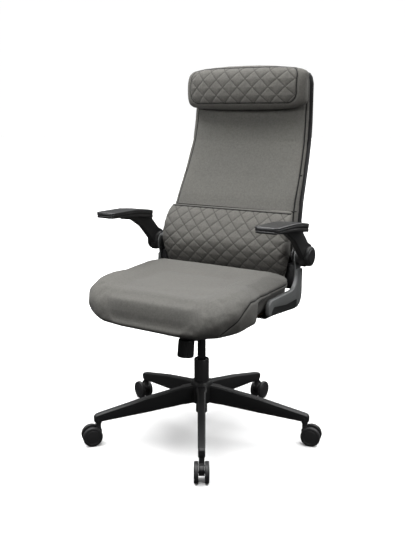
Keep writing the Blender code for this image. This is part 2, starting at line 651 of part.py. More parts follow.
def seat_pieces():
    """Plate on the mechanism, plywood board, and the cushion that wraps the board."""
    board_low, board_high = PLATE_TOP + GAP, PLATE_TOP + GAP + BOARD_THICKNESS
    plate = box("seat_plate", (-0.100, -0.160, PLATE_TOP - 0.003), (0.100, 0.095, PLATE_TOP))
    ears = []
    for side in (-1, 1):
        ear = slab(f"ear_{side}", rounded([(-0.146, 0.392, 0.008), (-0.110, 0.392, 0.008),
                                           (-0.100, 0.436, 0), (-0.156, 0.436, 0)]),
                   min(side * 0.0585, side * 0.0615), max(side * 0.0585, side * 0.0615),
                   group=CUTTERS)
        ears.append((ear, "UNION"))
    ears.append((rod("ear_hole", (-0.1, TILT_Y, TILT_Z), (0.1, TILT_Y, TILT_Z), 0.0053, CUTTERS),
                 "DIFFERENCE"))
    for x, y in SEAT_BOLTS:
        ears.append((board_bolt("seat_bolt", x, y), "UNION"))
    for tool, how in ears:
        tool.data.transform(Matrix.Translation(-PIVOTS["seat"]))
        tool.parent = AXES["seat"]
        combine(plate, tool, how)
    settle(plate, "seat", "painted_steel")

    outline = rounded([(-0.225, -0.260, 0.080), (0.225, -0.260, 0.080), (0.225, 0.105, 0.020),
                       (-0.225, 0.105, 0.020)], 5)
    board = slab("seat_board", outline, board_low, board_high, "XY")
    for x, y in SEAT_BOLTS + FOOT_BOLTS:
        hole = rod("board_hole", (x, y, 0.42), (x, y, 0.46), 0.0033, CUTTERS, 12)
        hole.data.transform(Matrix.Translation(-PIVOTS["seat"]))
        hole.parent = AXES["seat"]
        combine(board, hole)
    settle(board, "seat", "plywood")

    rings = []
    tucked = SEAT_WAIST - 0.006
    below, above = (-0.128, -0.110), (-0.146, -0.090)
    for inset, lift, waist, taper in (
            (0.040, 0.0, SEAT_WAIST, below), (0.018, 0.02, tucked, below),
            (0.007, 0.14, tucked, below), (0.002, 0.36, SEAT_WAIST, below),
            (0.0, 0.72, SEAT_WAIST, below), (0.0, 0.83, SEAT_OVERHANG, above),
            (0.004, 1.0, SEAT_OVERHANG, above), (0.020, 1.0, SEAT_OVERHANG, above),
            (0.055, 1.0, SEAT_OVERHANG, above), (0.100, 1.0, SEAT_OVERHANG, above),
            (0.140, 1.0, SEAT_OVERHANG, above)):
        ring = []
        for x, y in seat_outline(inset, waist, taper, 0.016 * lift - 0.022 * (1 - lift)):
            low, high = seat_underside(y), seat_seam(y) + seat_crown(inset)
            ring.append((x, y, low + (high - low) * lift))
        rings.append(ring)
    cushion = loft("seat_cushion", rings)
    pocket_outline = rounded([(-0.2256, -0.2606, 0.080), (0.2256, -0.2606, 0.080),
                              (0.2256, 0.1056, 0.020), (-0.2256, 0.1056, 0.020)], 5)
    pocket = slab("board_pocket", pocket_outline, 0.38, board_high + GAP, "XY", CUTTERS)
    pocket.data.transform(Matrix.Translation(-PIVOTS["seat"]))
    pocket.parent = AXES["seat"]
    combine(cushion, pocket)
    settle(cushion, "seat", "grey_fabric")


# ---- Side brackets ---------------------------------------------------------------------------
def bracket_outline(shrink=0.0):
    """J-shaped side view: a low front end, an elbow behind the seat and an upright to the arm."""
    s = shrink
    top = ARM_PIVOT_Z + 0.0270
    return rounded([
        (-0.0540 + s, 0.4960 - s, 0.022), (-0.0535 + s, 0.4470 + s, 0.012),
        (0.0250, 0.4410 + s, 0), (POST_Y1 - s, 0.4330 + s, 0.044), (POST_Y1 - s, 0.5650, 0.012),
        (0.1840 - s, 0.5850, 0.014), (0.1840 - s, top - s, 0.0260 - s),
        (0.1300 + s, top - s, 0.0260 - s), (0.1300 + s, 0.5900, 0.020), (POST_Y0 + s, 0.5680, 0.020),
        (POST_Y0 + s, 0.5020 - s, 0.042),
    ], 4)


def side_bolt(z):
    """A bolt through the bracket's upright into the back frame, one with the bracket."""
    bolt = turned("side_bolt", [
        (0, 0.0085), (0.0055, 0.0085), (0.0055, 0.0040), (0.0030, 0.0040), (0.0030, -0.0120),
        (0, -0.0120),
    ], sides=12, group=CUTTERS)
    bolt.data.transform(Matrix.Translation((BRACKET_X, SIDE_BOLT_Y, z))
                        @ Matrix.Rotation(math.pi / 2, 4, "Y"))
    return bolt


def side_bracket():
    """Steel plate beside the seat, bent under the board, with lugs to the back and the arm."""
    outer = BRACKET_X + BRACKET_PLATE
    plate = slab("side_bracket_left", bracket_outline(0.006), BRACKET_X, outer)
    bend = ((0.1750, -0.0050), (0.2520, -0.0050), (0.2575, 0.0010), (0.2575, 0.0080),
            (outer, 0.0150), (outer, 0.0300), (BRACKET_X, 0.0300), (BRACKET_X, 0.0175),
            (0.2525, 0.0105), (0.2525, 0.0030), (0.2500, 0.0), (0.1750, 0.0))
    foot = loft("bracket_foot", [[(x, y, PLATE_TOP + z) for x, z in bend]
                                 for y in (-0.0300, 0.0900)], CUTTERS)
    tools = [(foot, "UNION")]
    tools.append((rod("pivot_hole", (0.25, ARM_PIVOT_Y, ARM_PIVOT_Z), (0.29, ARM_PIVOT_Y,
                  ARM_PIVOT_Z), PIVOT_RADIUS + GAP, CUTTERS), "DIFFERENCE"))
    for z in SIDE_BOLT_HEIGHTS:
        tools.append((side_bolt(z), "UNION"))
    for x, y in FOOT_BOLTS[2:]:
        tools.append((board_bolt("foot_bolt", x, y), "UNION"))
    for tool, how in tools:
        combine(plate, tool, how)
    baked(plate)
    settle(mirrored(plate, "side_bracket_right"), "seat", "painted_steel")
    settle(plate, "seat", "painted_steel")


def bracket_cover():
    """Moulded cover over the bracket: a raised band along its top edge and a sunk panel below."""
    inner = BRACKET_X + BRACKET_PLATE + GAP
    cover = slab("bracket_cover_left", bracket_outline(), inner - COVER_ROUND - 0.002, COVER_X)
    soften(cover, COVER_ROUND, 3)
    baked(cover)
    inside = box("cover_inside", (0.20, -0.20, 0.35), (inner, 0.30, 0.75), CUTTERS)
    panel = slab("cover_panel", rounded([
        (-0.0390, 0.400, 0), (-0.0390, 0.4560, 0.008), (-0.0240, 0.4725, 0.008),
        (0.0600, 0.4630, 0), (0.1350, 0.4660, 0.006), (0.1350, 0.400, 0)]), COVER_X - 0.0030, 0.32,
        group=CUTTERS)
    hollow = slab("cover_hollow", bracket_outline(0.0045), 0.25, inner + 0.0036, group=CUTTERS)
    boss = rod("cover_boss", (inner, ARM_PIVOT_Y, ARM_PIVOT_Z),
               (POST_X - 0.0005, ARM_PIVOT_Y, ARM_PIVOT_Z), 0.0120, CUTTERS)
    post = slab("cover_step", [(0.08, 0.560), (0.22, 0.560), (0.22, 0.700), (0.08, 0.700)], POST_X,
                0.32, group=CUTTERS)
    hole = rod("cover_hole", (0.25, ARM_PIVOT_Y, ARM_PIVOT_Z), (0.33, ARM_PIVOT_Y, ARM_PIVOT_Z),
               PIVOT_RADIUS + GAP, CUTTERS)
    for tool, how in ((inside, "DIFFERENCE"), (panel, "DIFFERENCE"), (hollow, "DIFFERENCE"),
                      (post, "DIFFERENCE"), (boss, "UNION"), (hole, "DIFFERENCE")):
        combine(cover, tool, how)
    baked(cover)
    settle(mirrored(cover, "bracket_cover_right"), "seat", "bracket_grey")
    settle(cover, "seat", "bracket_grey")


# ---- Back ------------------------------------------------------------------------------------
def back_ring(z, half, front, rear, corner=0.012, crown=0.0, steps=2):
    """A rounded oblong in plan at height z; crown bows its front face forwards."""
    outline = rounded([(-half, front, corner), (half, front, corner), (half, rear, corner),
                       (-half, rear, corner)], steps)
    ring = []
    for x, y in outline:
        nearness = max(0.0, 1 - abs(y - front) / max(rear - front, 1e-6) * 2)
        ring.append((x, y - crown * nearness * math.cos(x / half * math.pi / 2), z))
    return ring


def heights(low, high, count):
    return [low + (high - low) * i / (count - 1) for i in range(count)]


def back_pieces():
    """Moulded rear frame, upholstered front panel, lumbar pad and head pillow."""
    def half(z):
        return along(BACK_PROFILE, z, 1)

    def front(z):
        return along(BACK_PROFILE, z, 2)

    def rear(z):
        return along(BACK_PROFILE, z, 3)

    def top_shrink(z):
        """The top corners round off over the last few centimetres."""
        t = max(0.0, (z - (BACK_TOP - 0.045)) / 0.045)
        return 0.040 * (1 - math.sqrt(max(0.0, 1 - t * t)))

    panel_rows = heights(PANEL_BOTTOM, BACK_TOP - 0.045, 10) + heights(BACK_TOP - 0.024, BACK_TOP, 3)
    rows = heights(BACK_BOTTOM, PANEL_BOTTOM, 2) + panel_rows[1:]
    frame_rings = [back_ring(z, half(z) - top_shrink(z), rear(z) - SHELL_THICKNESS, rear(z), 0.004)
                   for z in rows]
    frame = loft("back_frame", frame_rings)
    tools = []
    for side in (-1, 1):
        for name, x0, x1, y0, y1 in (("lug", 0.2440, BRACKET_X - GAP, 0.1450, 0.1660),
                                     ("rib", 0.2320, 0.2500, 0.1500, 0.1985)):
            low, high = min(side * x0, side * x1), max(side * x0, side * x1)
            tools.append((box(f"frame_{name}_{side}", (low, y0, 0.506), (high, y1, 0.573),
                              CUTTERS), "UNION"))
        for z in SIDE_BOLT_HEIGHTS:
            hole = rod("frame_bolt_hole", (side * 0.2460, SIDE_BOLT_Y, z),
                       (side * 0.29, SIDE_BOLT_Y, z), 0.0033, CUTTERS, 12)
            tools.append((hole, "DIFFERENCE"))
    for tool, how in tools:
        tool.data.transform(Matrix.Translation(-PIVOTS["seat"]))
        tool.parent = AXES["seat"]
        combine(frame, tool, how)
    settle(frame, "seat", "moulded_black")

    panel_rings = []
    for z in panel_rows:
        panel_rings.append(back_ring(z, half(z) - 0.002 - top_shrink(z), front(z),
                                     rear(z) - SHELL_THICKNESS - GAP, 0.010))
    settle(loft("back_panel", panel_rings), "seat", "grey_fabric")

    lumbar_rings = []
    for i, z in enumerate(heights(LUMBAR_BOTTOM, LUMBAR_TOP, 8)):
        t = i / 7
        bulge = math.sin(math.pi * min(max(t, 0.03), 0.985)) ** 0.6
        reach = LUMBAR_HALF_WIDTH - 0.006 * (1 - bulge)
        rear_y = front(max(z, PANEL_BOTTOM)) - 0.0015
        lumbar_rings.append(back_ring(z, reach, rear_y - LUMBAR_DEPTH * bulge * 0.75, rear_y, 0.008,
                                      0.010 * bulge))
    settle(loft("lumbar_pad", lumbar_rings), "seat", "quilted_fabric")

    pillow_rings = []
    middle, half_height = (PILLOW_BOTTOM + PILLOW_TOP) / 2, (PILLOW_TOP - PILLOW_BOTTOM) / 2
    for u in (-0.985, -0.95, -0.88, -0.76, -0.52, -0.26, 0.0, 0.26, 0.52, 0.76, 0.88, 0.95, 0.985):
        tall = half_height * (1 - abs(u) ** 7) ** (1 / 7) * (1 - 0.10 * abs(u) ** 2.5)
        deep = (1 - abs(u) ** 2.9) ** (1 / 2.9)
        centre = middle - 0.003 * abs(u) ** 2
        ring = []
        for k in range(9):
            angle = math.radians(-78 + 156 * k / 8)
            z = centre + tall * math.copysign(abs(math.sin(angle)) ** 0.80, angle)
            rear_y = front(min(z, BACK_TOP)) - 0.0015
            room = rear_y - PILLOW_FRONT
            ring.append((u * PILLOW_HALF_WIDTH, rear_y - room * deep * math.cos(angle) ** 0.60, z))
        for z in (centre + tall * 0.90, centre, centre - tall * 0.90):
            ring.append((u * PILLOW_HALF_WIDTH, front(min(z, BACK_TOP)) - 0.0015, z))
        pillow_rings.append(ring)
    settle(loft("head_pillow", pillow_rings), "seat", "quilted_fabric")


# ---- Arms ------------------------------------------------------------------------------------
def arm_level(y):
    """Height of the arm pad's top: level in front, falling gently to the rear."""
    return 0.7325 - 0.0180 * smooth_step((y + 0.020) / 0.180)


def pad_depth(y):
    """Thickness of the pad and its base together."""
    return 0.0200 + 0.0075 * smooth_step((y + 0.120) / 0.160)


def pad_ring(y, low, high, narrow, chamfer):
    x0, x1 = PAD_X0 + narrow, PAD_X1 - narrow
    return [(x0 + chamfer, y, low), (x1 - chamfer, y, low), (x1, y, low + chamfer),
            (x1, y, high - chamfer), (x1 - chamfer, y, high), (x0 + chamfer, y, high),
            (x0, y, high - chamfer), (x0, y, low + chamfer)]


def arm_pieces():
    """Left arm: strut on the pivot, hard pad base, soft pad and pivot cap, then its mirror."""
    stations = ((-0.125, 0.0135), (-0.116, 0.0070), (-0.100, 0.0020), (-0.050, 0.0), (0.000, 0.0),
                (0.050, 0.0), (0.088, 0.0015), (0.100, 0.0070))
    base_rings = []
    pad_rings = []
    for y, narrow in stations:
        top = arm_level(y)
        base_rings.append(pad_ring(y, top - pad_depth(y), top - 0.0118 - GAP, narrow + 0.002, 0.002))
        pad_rings.append(pad_ring(y, top - 0.0118, top, narrow, 0.0035))
    base = loft("arm_pad_base_left", base_rings)
    pad = loft("arm_pad_left", pad_rings)

    strut = slab("arm_strut_left", rounded([
        (-0.060, 0.7300, 0), (-0.040, 0.7010, 0), (0.010, 0.6930, 0.030), (0.060, 0.6650, 0.060),
        (0.1280, 0.5980, 0.010), (0.1300, 0.5720, 0.014), (0.1890, 0.5720, 0.028),
        (0.1890, 0.6360, 0.026), (0.1570, 0.6480, 0.030), (0.1190, 0.6860, 0.006),
        (0.1120, 0.7300, 0)]), STRUT_X0, STRUT_X1)
    soften(strut, 0.0030, 1)
    spacer = rod("strut_spacer", (POST_X + GAP, ARM_PIVOT_Y, ARM_PIVOT_Z),
                 (STRUT_X0 + 0.0040, ARM_PIVOT_Y, ARM_PIVOT_Z), 0.0310, CUTTERS, 28)
    spacer_hole = rod("spacer_hole", (0.25, ARM_PIVOT_Y, ARM_PIVOT_Z),
                      (0.33, ARM_PIVOT_Y, ARM_PIVOT_Z), PIVOT_RADIUS + GAP, CUTTERS)
    under = [(y, arm_level(y) - pad_depth(y) - GAP) for y, _ in stations]
    under.append((0.130, under[-1][1]))
    above = slab("strut_top_cut", [(-0.125, 0.76), *under, (0.130, 0.76)], 0.27, 0.33,
                 group=CUTTERS)
    combine(strut, above)
    combine(strut, spacer, "UNION")
    combine(strut, spacer_hole)
    baked(strut)

    cap = turned("arm_cap_left", [
        (0, 0.3170), (0.0225, 0.3170), (0.0250, 0.3160), (0.0250, 0.3145), (0.0285, 0.3145),
        (0.0308, 0.3120), (0.0315, STRUT_X1 + GAP), (PIVOT_RADIUS + GAP, STRUT_X1 + GAP),
        (PIVOT_RADIUS + GAP, 0.3110), (0, 0.3110),
    ], sides=24)
    cap.data.transform(Matrix.Translation((0, ARM_PIVOT_Y, ARM_PIVOT_Z))
                       @ Matrix.Rotation(math.pi / 2, 4, "Y"))

    pieces = ((strut, "arm_strut_right", "moulded_black"), (base, "arm_pad_base_right",
              "moulded_black"), (pad, "arm_pad_right", "arm_pad"),
              (cap, "arm_cap_right", "moulded_black"))
    for piece, other, material in pieces:
        settle(mirrored(piece, other), "arm_right", material)
        settle(piece, "arm_left", material)


def pivot_bolts():
    """The bolts that the arms turn on."""
    for side, name in ((1, "arm_pivot_bolt_left"), (-1, "arm_pivot_bolt_right")):
        bolt = turned(name, [
            (0, 0.3105), (PIVOT_RADIUS, 0.3105), (PIVOT_RADIUS, BRACKET_X - GAP),
            (0.0285, BRACKET_X - GAP), (0.0285, BRACKET_X - 0.0030), (0.0265, BRACKET_X - 0.0045),
            (0, BRACKET_X - 0.0045),
        ], sides=16)
        bolt.data.transform(Matrix.Translation((0, ARM_PIVOT_Y, ARM_PIVOT_Z))
                            @ Matrix.Rotation(side * math.pi / 2, 4, "Y"))
        settle(bolt, "seat", "bright_steel")


# ---- Assembly --------------------------------------------------------------------------------
axis_empty("base", None, (COLUMN_X, COLUMN_Y, 0))
axis_empty("piston", "base", (0, 0, TUBE_BOTTOM))
axis_empty("mechanism", "piston", (0, 0, CYLINDER_TOP))
axis_empty("valve", "mechanism", (0, 0, CYLINDER_TOP))
axis_empty("lock_slider_axis", "mechanism", (LEVER_X, 0, LEVER_Z))
axis_empty("height_lever_axis", "lock_slider_axis", (LEVER_X, 0, LEVER_Z))
axis_empty("tension_knob_axis", "mechanism", (0, KNOB_Y, KNOB_Z), (-KNOB_LEAN, 0, 0))
axis_empty("spring_axis", "mechanism", (0, KNOB_Y, KNOB_Z), (-KNOB_LEAN, 0, 0))
axis_empty("seat", "mechanism", (0, TILT_Y, TILT_Z))
axis_empty("arm_left", "seat", (COVER_X, ARM_PIVOT_Y, ARM_PIVOT_Z))
axis_empty("arm_right", "seat", (-COVER_X, ARM_PIVOT_Y, ARM_PIVOT_Z))

star_base()
for number, direction in enumerate(leg_directions(), start=1):
    caster_stem(number, direction)
    caster(number, direction)
gas_lift()
tilt_mechanism()
lever()
seat_pieces()
side_bracket()
bracket_cover()
back_pieces()
arm_pieces()
pivot_bolts()
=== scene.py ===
"""Looks of the gaming chair: cloth-simulated upholstery, quilting, piping, moulded plastics and
steel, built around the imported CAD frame."""
import json
import math

import bmesh
import bpy
import numpy as np
from mathutils import Matrix, Vector
from mathutils.bvhtree import BVHTree

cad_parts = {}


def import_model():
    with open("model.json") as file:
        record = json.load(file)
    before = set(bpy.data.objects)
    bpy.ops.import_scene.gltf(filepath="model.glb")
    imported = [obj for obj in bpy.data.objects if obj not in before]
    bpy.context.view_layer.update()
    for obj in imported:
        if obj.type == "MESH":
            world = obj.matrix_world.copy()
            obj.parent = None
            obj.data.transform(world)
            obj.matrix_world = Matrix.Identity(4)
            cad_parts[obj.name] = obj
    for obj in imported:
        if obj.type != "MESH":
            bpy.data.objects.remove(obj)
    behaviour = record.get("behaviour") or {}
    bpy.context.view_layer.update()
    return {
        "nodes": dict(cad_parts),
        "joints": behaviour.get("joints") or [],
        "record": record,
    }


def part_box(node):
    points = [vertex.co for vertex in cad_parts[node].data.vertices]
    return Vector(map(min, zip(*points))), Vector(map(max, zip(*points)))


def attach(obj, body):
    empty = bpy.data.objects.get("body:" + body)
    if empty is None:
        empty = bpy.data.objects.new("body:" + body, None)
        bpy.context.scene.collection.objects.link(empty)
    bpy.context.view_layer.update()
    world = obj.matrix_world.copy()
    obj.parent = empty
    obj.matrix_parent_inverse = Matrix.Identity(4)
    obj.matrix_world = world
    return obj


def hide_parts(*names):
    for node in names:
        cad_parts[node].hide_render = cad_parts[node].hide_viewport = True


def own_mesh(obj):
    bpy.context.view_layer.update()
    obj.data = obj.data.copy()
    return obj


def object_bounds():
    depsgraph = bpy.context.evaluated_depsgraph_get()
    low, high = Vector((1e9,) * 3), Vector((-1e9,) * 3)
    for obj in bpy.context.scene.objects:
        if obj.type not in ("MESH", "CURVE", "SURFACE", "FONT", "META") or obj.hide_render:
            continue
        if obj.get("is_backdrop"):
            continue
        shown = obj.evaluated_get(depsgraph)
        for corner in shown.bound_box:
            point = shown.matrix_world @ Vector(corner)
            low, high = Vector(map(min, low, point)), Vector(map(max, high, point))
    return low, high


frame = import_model()
NODES = frame["nodes"]
JOINTS = {joint["name"]: joint for joint in frame["joints"]}
COLUMN = Vector(JOINTS["seat_swivel"]["pos_m"])
SIDES = (("left", 1), ("right", -1))
WELD = 0.00002               # CAD points closer than this are one
BODY_OF = {node: body for body, nodes in frame["record"]["behaviour"]["bodies"].items()
           for node in nodes}

# ---- Camera ----------------------------------------------------------------------------------
VIEW_AZIMUTH = math.radians(33)
VIEW_PITCH = math.radians(11.87)
VIEW_DISTANCE = 2.377        # from the column, along the floor
VIEW_HEIGHT = 1.052
IMAGE_HEIGHT = 540
SHIFT_PIXELS = 0.9           # the column stands this far left of the middle

camera = bpy.data.objects.new("camera", bpy.data.cameras.new("camera"))
bpy.context.scene.collection.objects.link(camera)
camera.location = (COLUMN.x + VIEW_DISTANCE * math.sin(VIEW_AZIMUTH),
                   COLUMN.y - VIEW_DISTANCE * math.cos(VIEW_AZIMUTH), VIEW_HEIGHT)
camera.rotation_euler = (math.pi / 2 - VIEW_PITCH, 0.0, VIEW_AZIMUTH)
camera.data.lens = 50.0
camera.data.sensor_fit = "VERTICAL"
camera.data.sensor_height = 36.0
camera.data.shift_x = SHIFT_PIXELS / IMAGE_HEIGHT
bpy.context.scene.camera = camera


# ---- Shader tools ----------------------------------------------------------------------------
def add(tree, kind, inputs=None, **settings):
    """A shader node. inputs maps a socket to a value or to another node's output."""
    made = tree.nodes.new("ShaderNode" + kind)
    for key, value in settings.items():
        setattr(made, key, value)
    for key, value in (inputs or {}).items():
        if isinstance(value, bpy.types.NodeSocket):
            tree.links.new(value, made.inputs[key])
        else:
            made.inputs[key].default_value = value
    return made


def maths(tree, operation, first, second=0.0, clamp=False):
    return add(tree, "Math", {0: first, 1: second}, operation=operation, use_clamp=clamp).outputs[0]


def mixed(tree, factor, first, second, blend="MIX"):
    """A colour between two, by factor, or their product where blend says MULTIPLY."""
    node = tree.nodes.new("ShaderNodeMix")
    node.data_type = "RGBA"
    node.blend_type = blend
    for place, value in ((0, factor), (6, first), (7, second)):
        socket = node.inputs[place]
        if isinstance(value, bpy.types.NodeSocket):
            tree.links.new(value, socket)
        else:
            socket.default_value = value
    return node.outputs[2]


def fresh(name, metallic=0.0, **sockets):
    """A new material, its tree, its shader and its object coordinates."""
    made = bpy.data.materials.new(name)
    made.use_nodes = True
    tree = made.node_tree
    shader = tree.nodes["Principled BSDF"]
    shader.inputs["Metallic"].default_value = metallic
    for socket, value in sockets.items():
        shader.inputs[socket.replace("_", " ")].default_value = value
    place = add(tree, "TexCoord").outputs["Object"]
    return made, tree, shader, place


def shades(colour, *factors):
    return [tuple(c * f for c in colour) + (1.0,) for f in factors]


def noise_of(tree, place, scale, detail=2.0, stretch=None):
    if stretch:
        place = add(tree, "Mapping", {"Vector": place, "Scale": stretch}).outputs[0]
    return add(tree, "TexNoise", {"Vector": place, "Scale": scale, "Detail": detail}).outputs[0]


def moulded(name, colour, roughness, grain=1500.0, edge_paleness=0.5):
    """Injection-moulded plastic: fine spark grain, cloudy gloss and sharp edges painted paler in
    patches.
    """
    made, tree, shader, place = fresh(name, Specular_IOR_Level=0.45)
    cloud = noise_of(tree, place, 14.0, 4.0)
    grains = noise_of(tree, place, grain, 2.0)
    dark, light, pale_edge_tone = shades(colour, 0.82, 1.18, 2.3)
    base = mixed(tree, cloud, dark, light)
    # Sharp edges, found by pointiness, are painted paler in noise patches
    edge = add(tree, "NewGeometry").outputs["Pointiness"]
    edge_paling = maths(tree, "MULTIPLY", maths(tree, "SUBTRACT", edge, 0.535, clamp=True), 9.0 * edge_paleness,
                   clamp=True)
    edge_paling = maths(tree, "MULTIPLY", edge_paling, noise_of(tree, place, 60.0, 3.0), clamp=True)
    tree.links.new(mixed(tree, edge_paling, base, pale_edge_tone), shader.inputs["Base Color"])
    rough = maths(tree, "ADD", maths(tree, "MULTIPLY", cloud, 0.14), roughness - 0.07)
    rough = maths(tree, "ADD", rough, maths(tree, "MULTIPLY", grains, 0.10))
    tree.links.new(rough, shader.inputs["Roughness"])
    bump = add(tree, "Bump", {"Strength": 0.30, "Distance": 0.00025, "Height": grains})
    tree.links.new(bump.outputs[0], shader.inputs["Normal"])
    return made


def metal(name, colour, roughness, metallic, brushed=False, coat=0.0):
    """Steel, either coated with fine orange peel or brushed round its length."""
    made, tree, shader, place = fresh(name, metallic, Coat_Weight=coat, Coat_Roughness=0.12)
    stretch = (1.0, 1.0, 0.04) if brushed else None
    fine = noise_of(tree, place, 900.0 if brushed else 420.0, 2.0, stretch)
    cloud = noise_of(tree, place, 22.0, 3.0)
    dark, light = shades(colour, 0.86, 1.12)
    tree.links.new(mixed(tree, cloud, dark, light), shader.inputs["Base Color"])
    rough = maths(tree, "ADD", maths(tree, "MULTIPLY", fine, 0.16), roughness - 0.08)
    tree.links.new(rough, shader.inputs["Roughness"])
    bump = add(tree, "Bump", {"Strength": 0.16, "Distance": 0.0002, "Height": fine})
    tree.links.new(bump.outputs[0], shader.inputs["Normal"])
    return made


def plywood(name):
    """Birch board: long grain across the chair and darker growth lines."""
    made, tree, shader, place = fresh(name)
    grain = noise_of(tree, place, 60.0, 6.0, (0.06, 1.0, 1.0))
    fleck = noise_of(tree, place, 500.0, 2.0, (0.1, 1.0, 1.0))
    tone = maths(tree, "MULTIPLY", grain, maths(tree, "ADD", fleck, 0.5), clamp=True)
    tree.links.new(mixed(tree, tone, (0.30, 0.19, 0.095, 1), (0.60, 0.45, 0.28, 1)),
                   shader.inputs["Base Color"])
    shader.inputs["Roughness"].default_value = 0.7
    bump = add(tree, "Bump", {"Strength": 0.2, "Distance": 0.0004, "Height": grain})
    tree.links.new(bump.outputs[0], shader.inputs["Normal"])
    return made


THREAD_PITCH = 0.0016        # weave of the cover cloth


def to_quilting(tree, place, width, height, middle):
    """Distance from a point to the nearer of two families of crossing quilting lines."""
    parts = add(tree, "SeparateXYZ", {0: place}).outputs
    slope = width / height
    lean = maths(tree, "MULTIPLY", maths(tree, "SUBTRACT", parts[2], middle), slope)
    reach = width / math.sqrt(1 + slope * slope)
    ways = []
    for operation in ("ADD", "SUBTRACT"):
        across = maths(tree, "DIVIDE", maths(tree, operation, parts[0], lean), width)
        across = maths(tree, "FRACT", maths(tree, "ADD", across, 100.5))
        ways.append(maths(tree, "ABSOLUTE", maths(tree, "SUBTRACT", across, 0.5)))
    return maths(tree, "MULTIPLY", maths(tree, "MINIMUM", *ways), reach)


def beside(tree, away, line, halo):
    """Shade along a sewn line, from its distance: a sharp line in a soft halo, each given as
    (half width, strength)."""
    parts = [maths(tree, "MULTIPLY", maths(tree, "SUBTRACT", 1.0, maths(
        tree, "DIVIDE", away, width), clamp=True), strength) for width, strength in (line, halo)]
    return maths(tree, "ADD", *parts, clamp=True)


def woven(name, colour, flat="Z", seam=None, quilting=None):
    """Melange cloth: crossed threads, flecked yarn, soft fuzz, painted shade along the seam grooves
    where the mesh carries a seam attribute, and painted shade along the quilting lines where it
    carries a quilted one."""
    made, tree, shader, place = fresh(name, Sheen_Weight=0.10, Sheen_Roughness=0.45,
                                      Specular_IOR_Level=0.22)
    wave = {"Vector": place, "Scale": 2 * math.pi / THREAD_PITCH / 20.0, "Distortion": 1.2,
            "Detail Scale": 2.0}
    threads = maths(tree, "MAXIMUM", *[
        add(tree, "TexWave", wave, bands_direction=way).outputs[1] for way in ("X", flat)])
    yarn = noise_of(tree, place, 520.0, 2.0)
    fleck = noise_of(tree, place, 170.0, 3.0)
    cloud = noise_of(tree, place, 7.0, 3.0)
    tone = maths(tree, "ADD", maths(tree, "MULTIPLY", yarn, 0.45),
                 maths(tree, "MULTIPLY", fleck, 0.55))
    tone = maths(tree, "ADD", maths(tree, "MULTIPLY", maths(tree, "SUBTRACT", tone, 0.5), 2.2), 0.5,
                 clamp=True)
    dark, light = shades(colour, 0.80, 1.21)
    base = mixed(tree, tone, dark, light)
    tint = mixed(tree, cloud, (0.92, 0.92, 0.93, 1), (1.07, 1.06, 1.04, 1))
    base = mixed(tree, 1.0, base, tint, "MULTIPLY")
    height = maths(tree, "ADD", maths(tree, "MULTIPLY", threads, 0.6),
                   maths(tree, "MULTIPLY", yarn, 0.8))
    if seam:
        # Painted shade along the seam grooves: a near-black line in a soft halo
        away = maths(tree, "ABSOLUTE", add(tree, "Attribute", attribute_name=seam).outputs["Fac"])
        shade = beside(tree, away, (0.0027, 1.30), (0.0050, 0.15))
        base = mixed(tree, shade, base, shades(colour, 0.05)[0])
    bump = add(tree, "Bump", {"Strength": 0.35, "Distance": 0.0005, "Height": height})
    if quilting:
        where = add(tree, "Attribute", attribute_name="quilted").outputs["Fac"]
        gap = to_quilting(tree, place, *quilting)
        # Painted shade along the quilting grooves: a dark line in a soft halo
        shade = maths(tree, "MULTIPLY", beside(tree, gap, (0.0012, 0.62), (0.0045, 0.14)), where)
        base = mixed(tree, shade, base, shades(colour, 0.12)[0])
        puff = maths(tree, "POWER", maths(tree, "DIVIDE", gap, 0.016, clamp=True), 0.5)
        puff = maths(tree, "MULTIPLY", puff, where)
        bump = add(tree, "Bump", {"Strength": 0.8, "Distance": 0.0022, "Height": puff,
                                  "Normal": bump.outputs[0]})
    tree.links.new(base, shader.inputs["Base Color"])
    tree.links.new(maths(tree, "ADD", 0.86, maths(tree, "MULTIPLY", yarn, 0.14)),
                   shader.inputs["Roughness"])
    tree.links.new(bump.outputs[0], shader.inputs["Normal"])
    return made


LUMBAR_LOW, LUMBAR_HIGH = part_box("lumbar_pad")
PILLOW_LOW, PILLOW_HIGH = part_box("head_pillow")
# A diamond's width and height, and the height the pattern is centred on
LUMBAR_QUILTING = (0.0520, 0.0450, (LUMBAR_LOW.z + LUMBAR_HIGH.z) / 2)
PILLOW_QUILTING = (0.0560, 0.0520, (PILLOW_LOW.z + PILLOW_HIGH.z) / 2)

BLACK = moulded("grained_black", (0.0150, 0.0150, 0.0156), 0.40)
BASE_BLACK = moulded("base_black", (0.0120, 0.0120, 0.0125), 0.38, 1100.0)
TREAD = moulded("tread_nylon", (0.0150, 0.0150, 0.0158), 0.48, 800.0)
BRACKET = moulded("bracket_grey", (0.120, 0.124, 0.124), 0.36)
# A near-black copy of the plastic for the bracket cover's sunk panel: painted shade
RECESS_SHADE = moulded("bracket_recess_shade", (0.015, 0.016, 0.016), 0.50)
PAD_SKIN = moulded("pad_skin", (0.022, 0.022, 0.023), 0.28, 700.0, 0.25)
COATED = metal("powder_coat", (0.024, 0.024, 0.025), 0.34, 0.0, coat=0.25)
GLOSS = metal("gloss_steel", (0.016, 0.016, 0.018), 0.22, 0.35, coat=0.5)
ZINC = metal("zinc_steel", (0.52, 0.52, 0.54), 0.30, 1.0, brushed=True)
BOARD = plywood("birch_plywood")
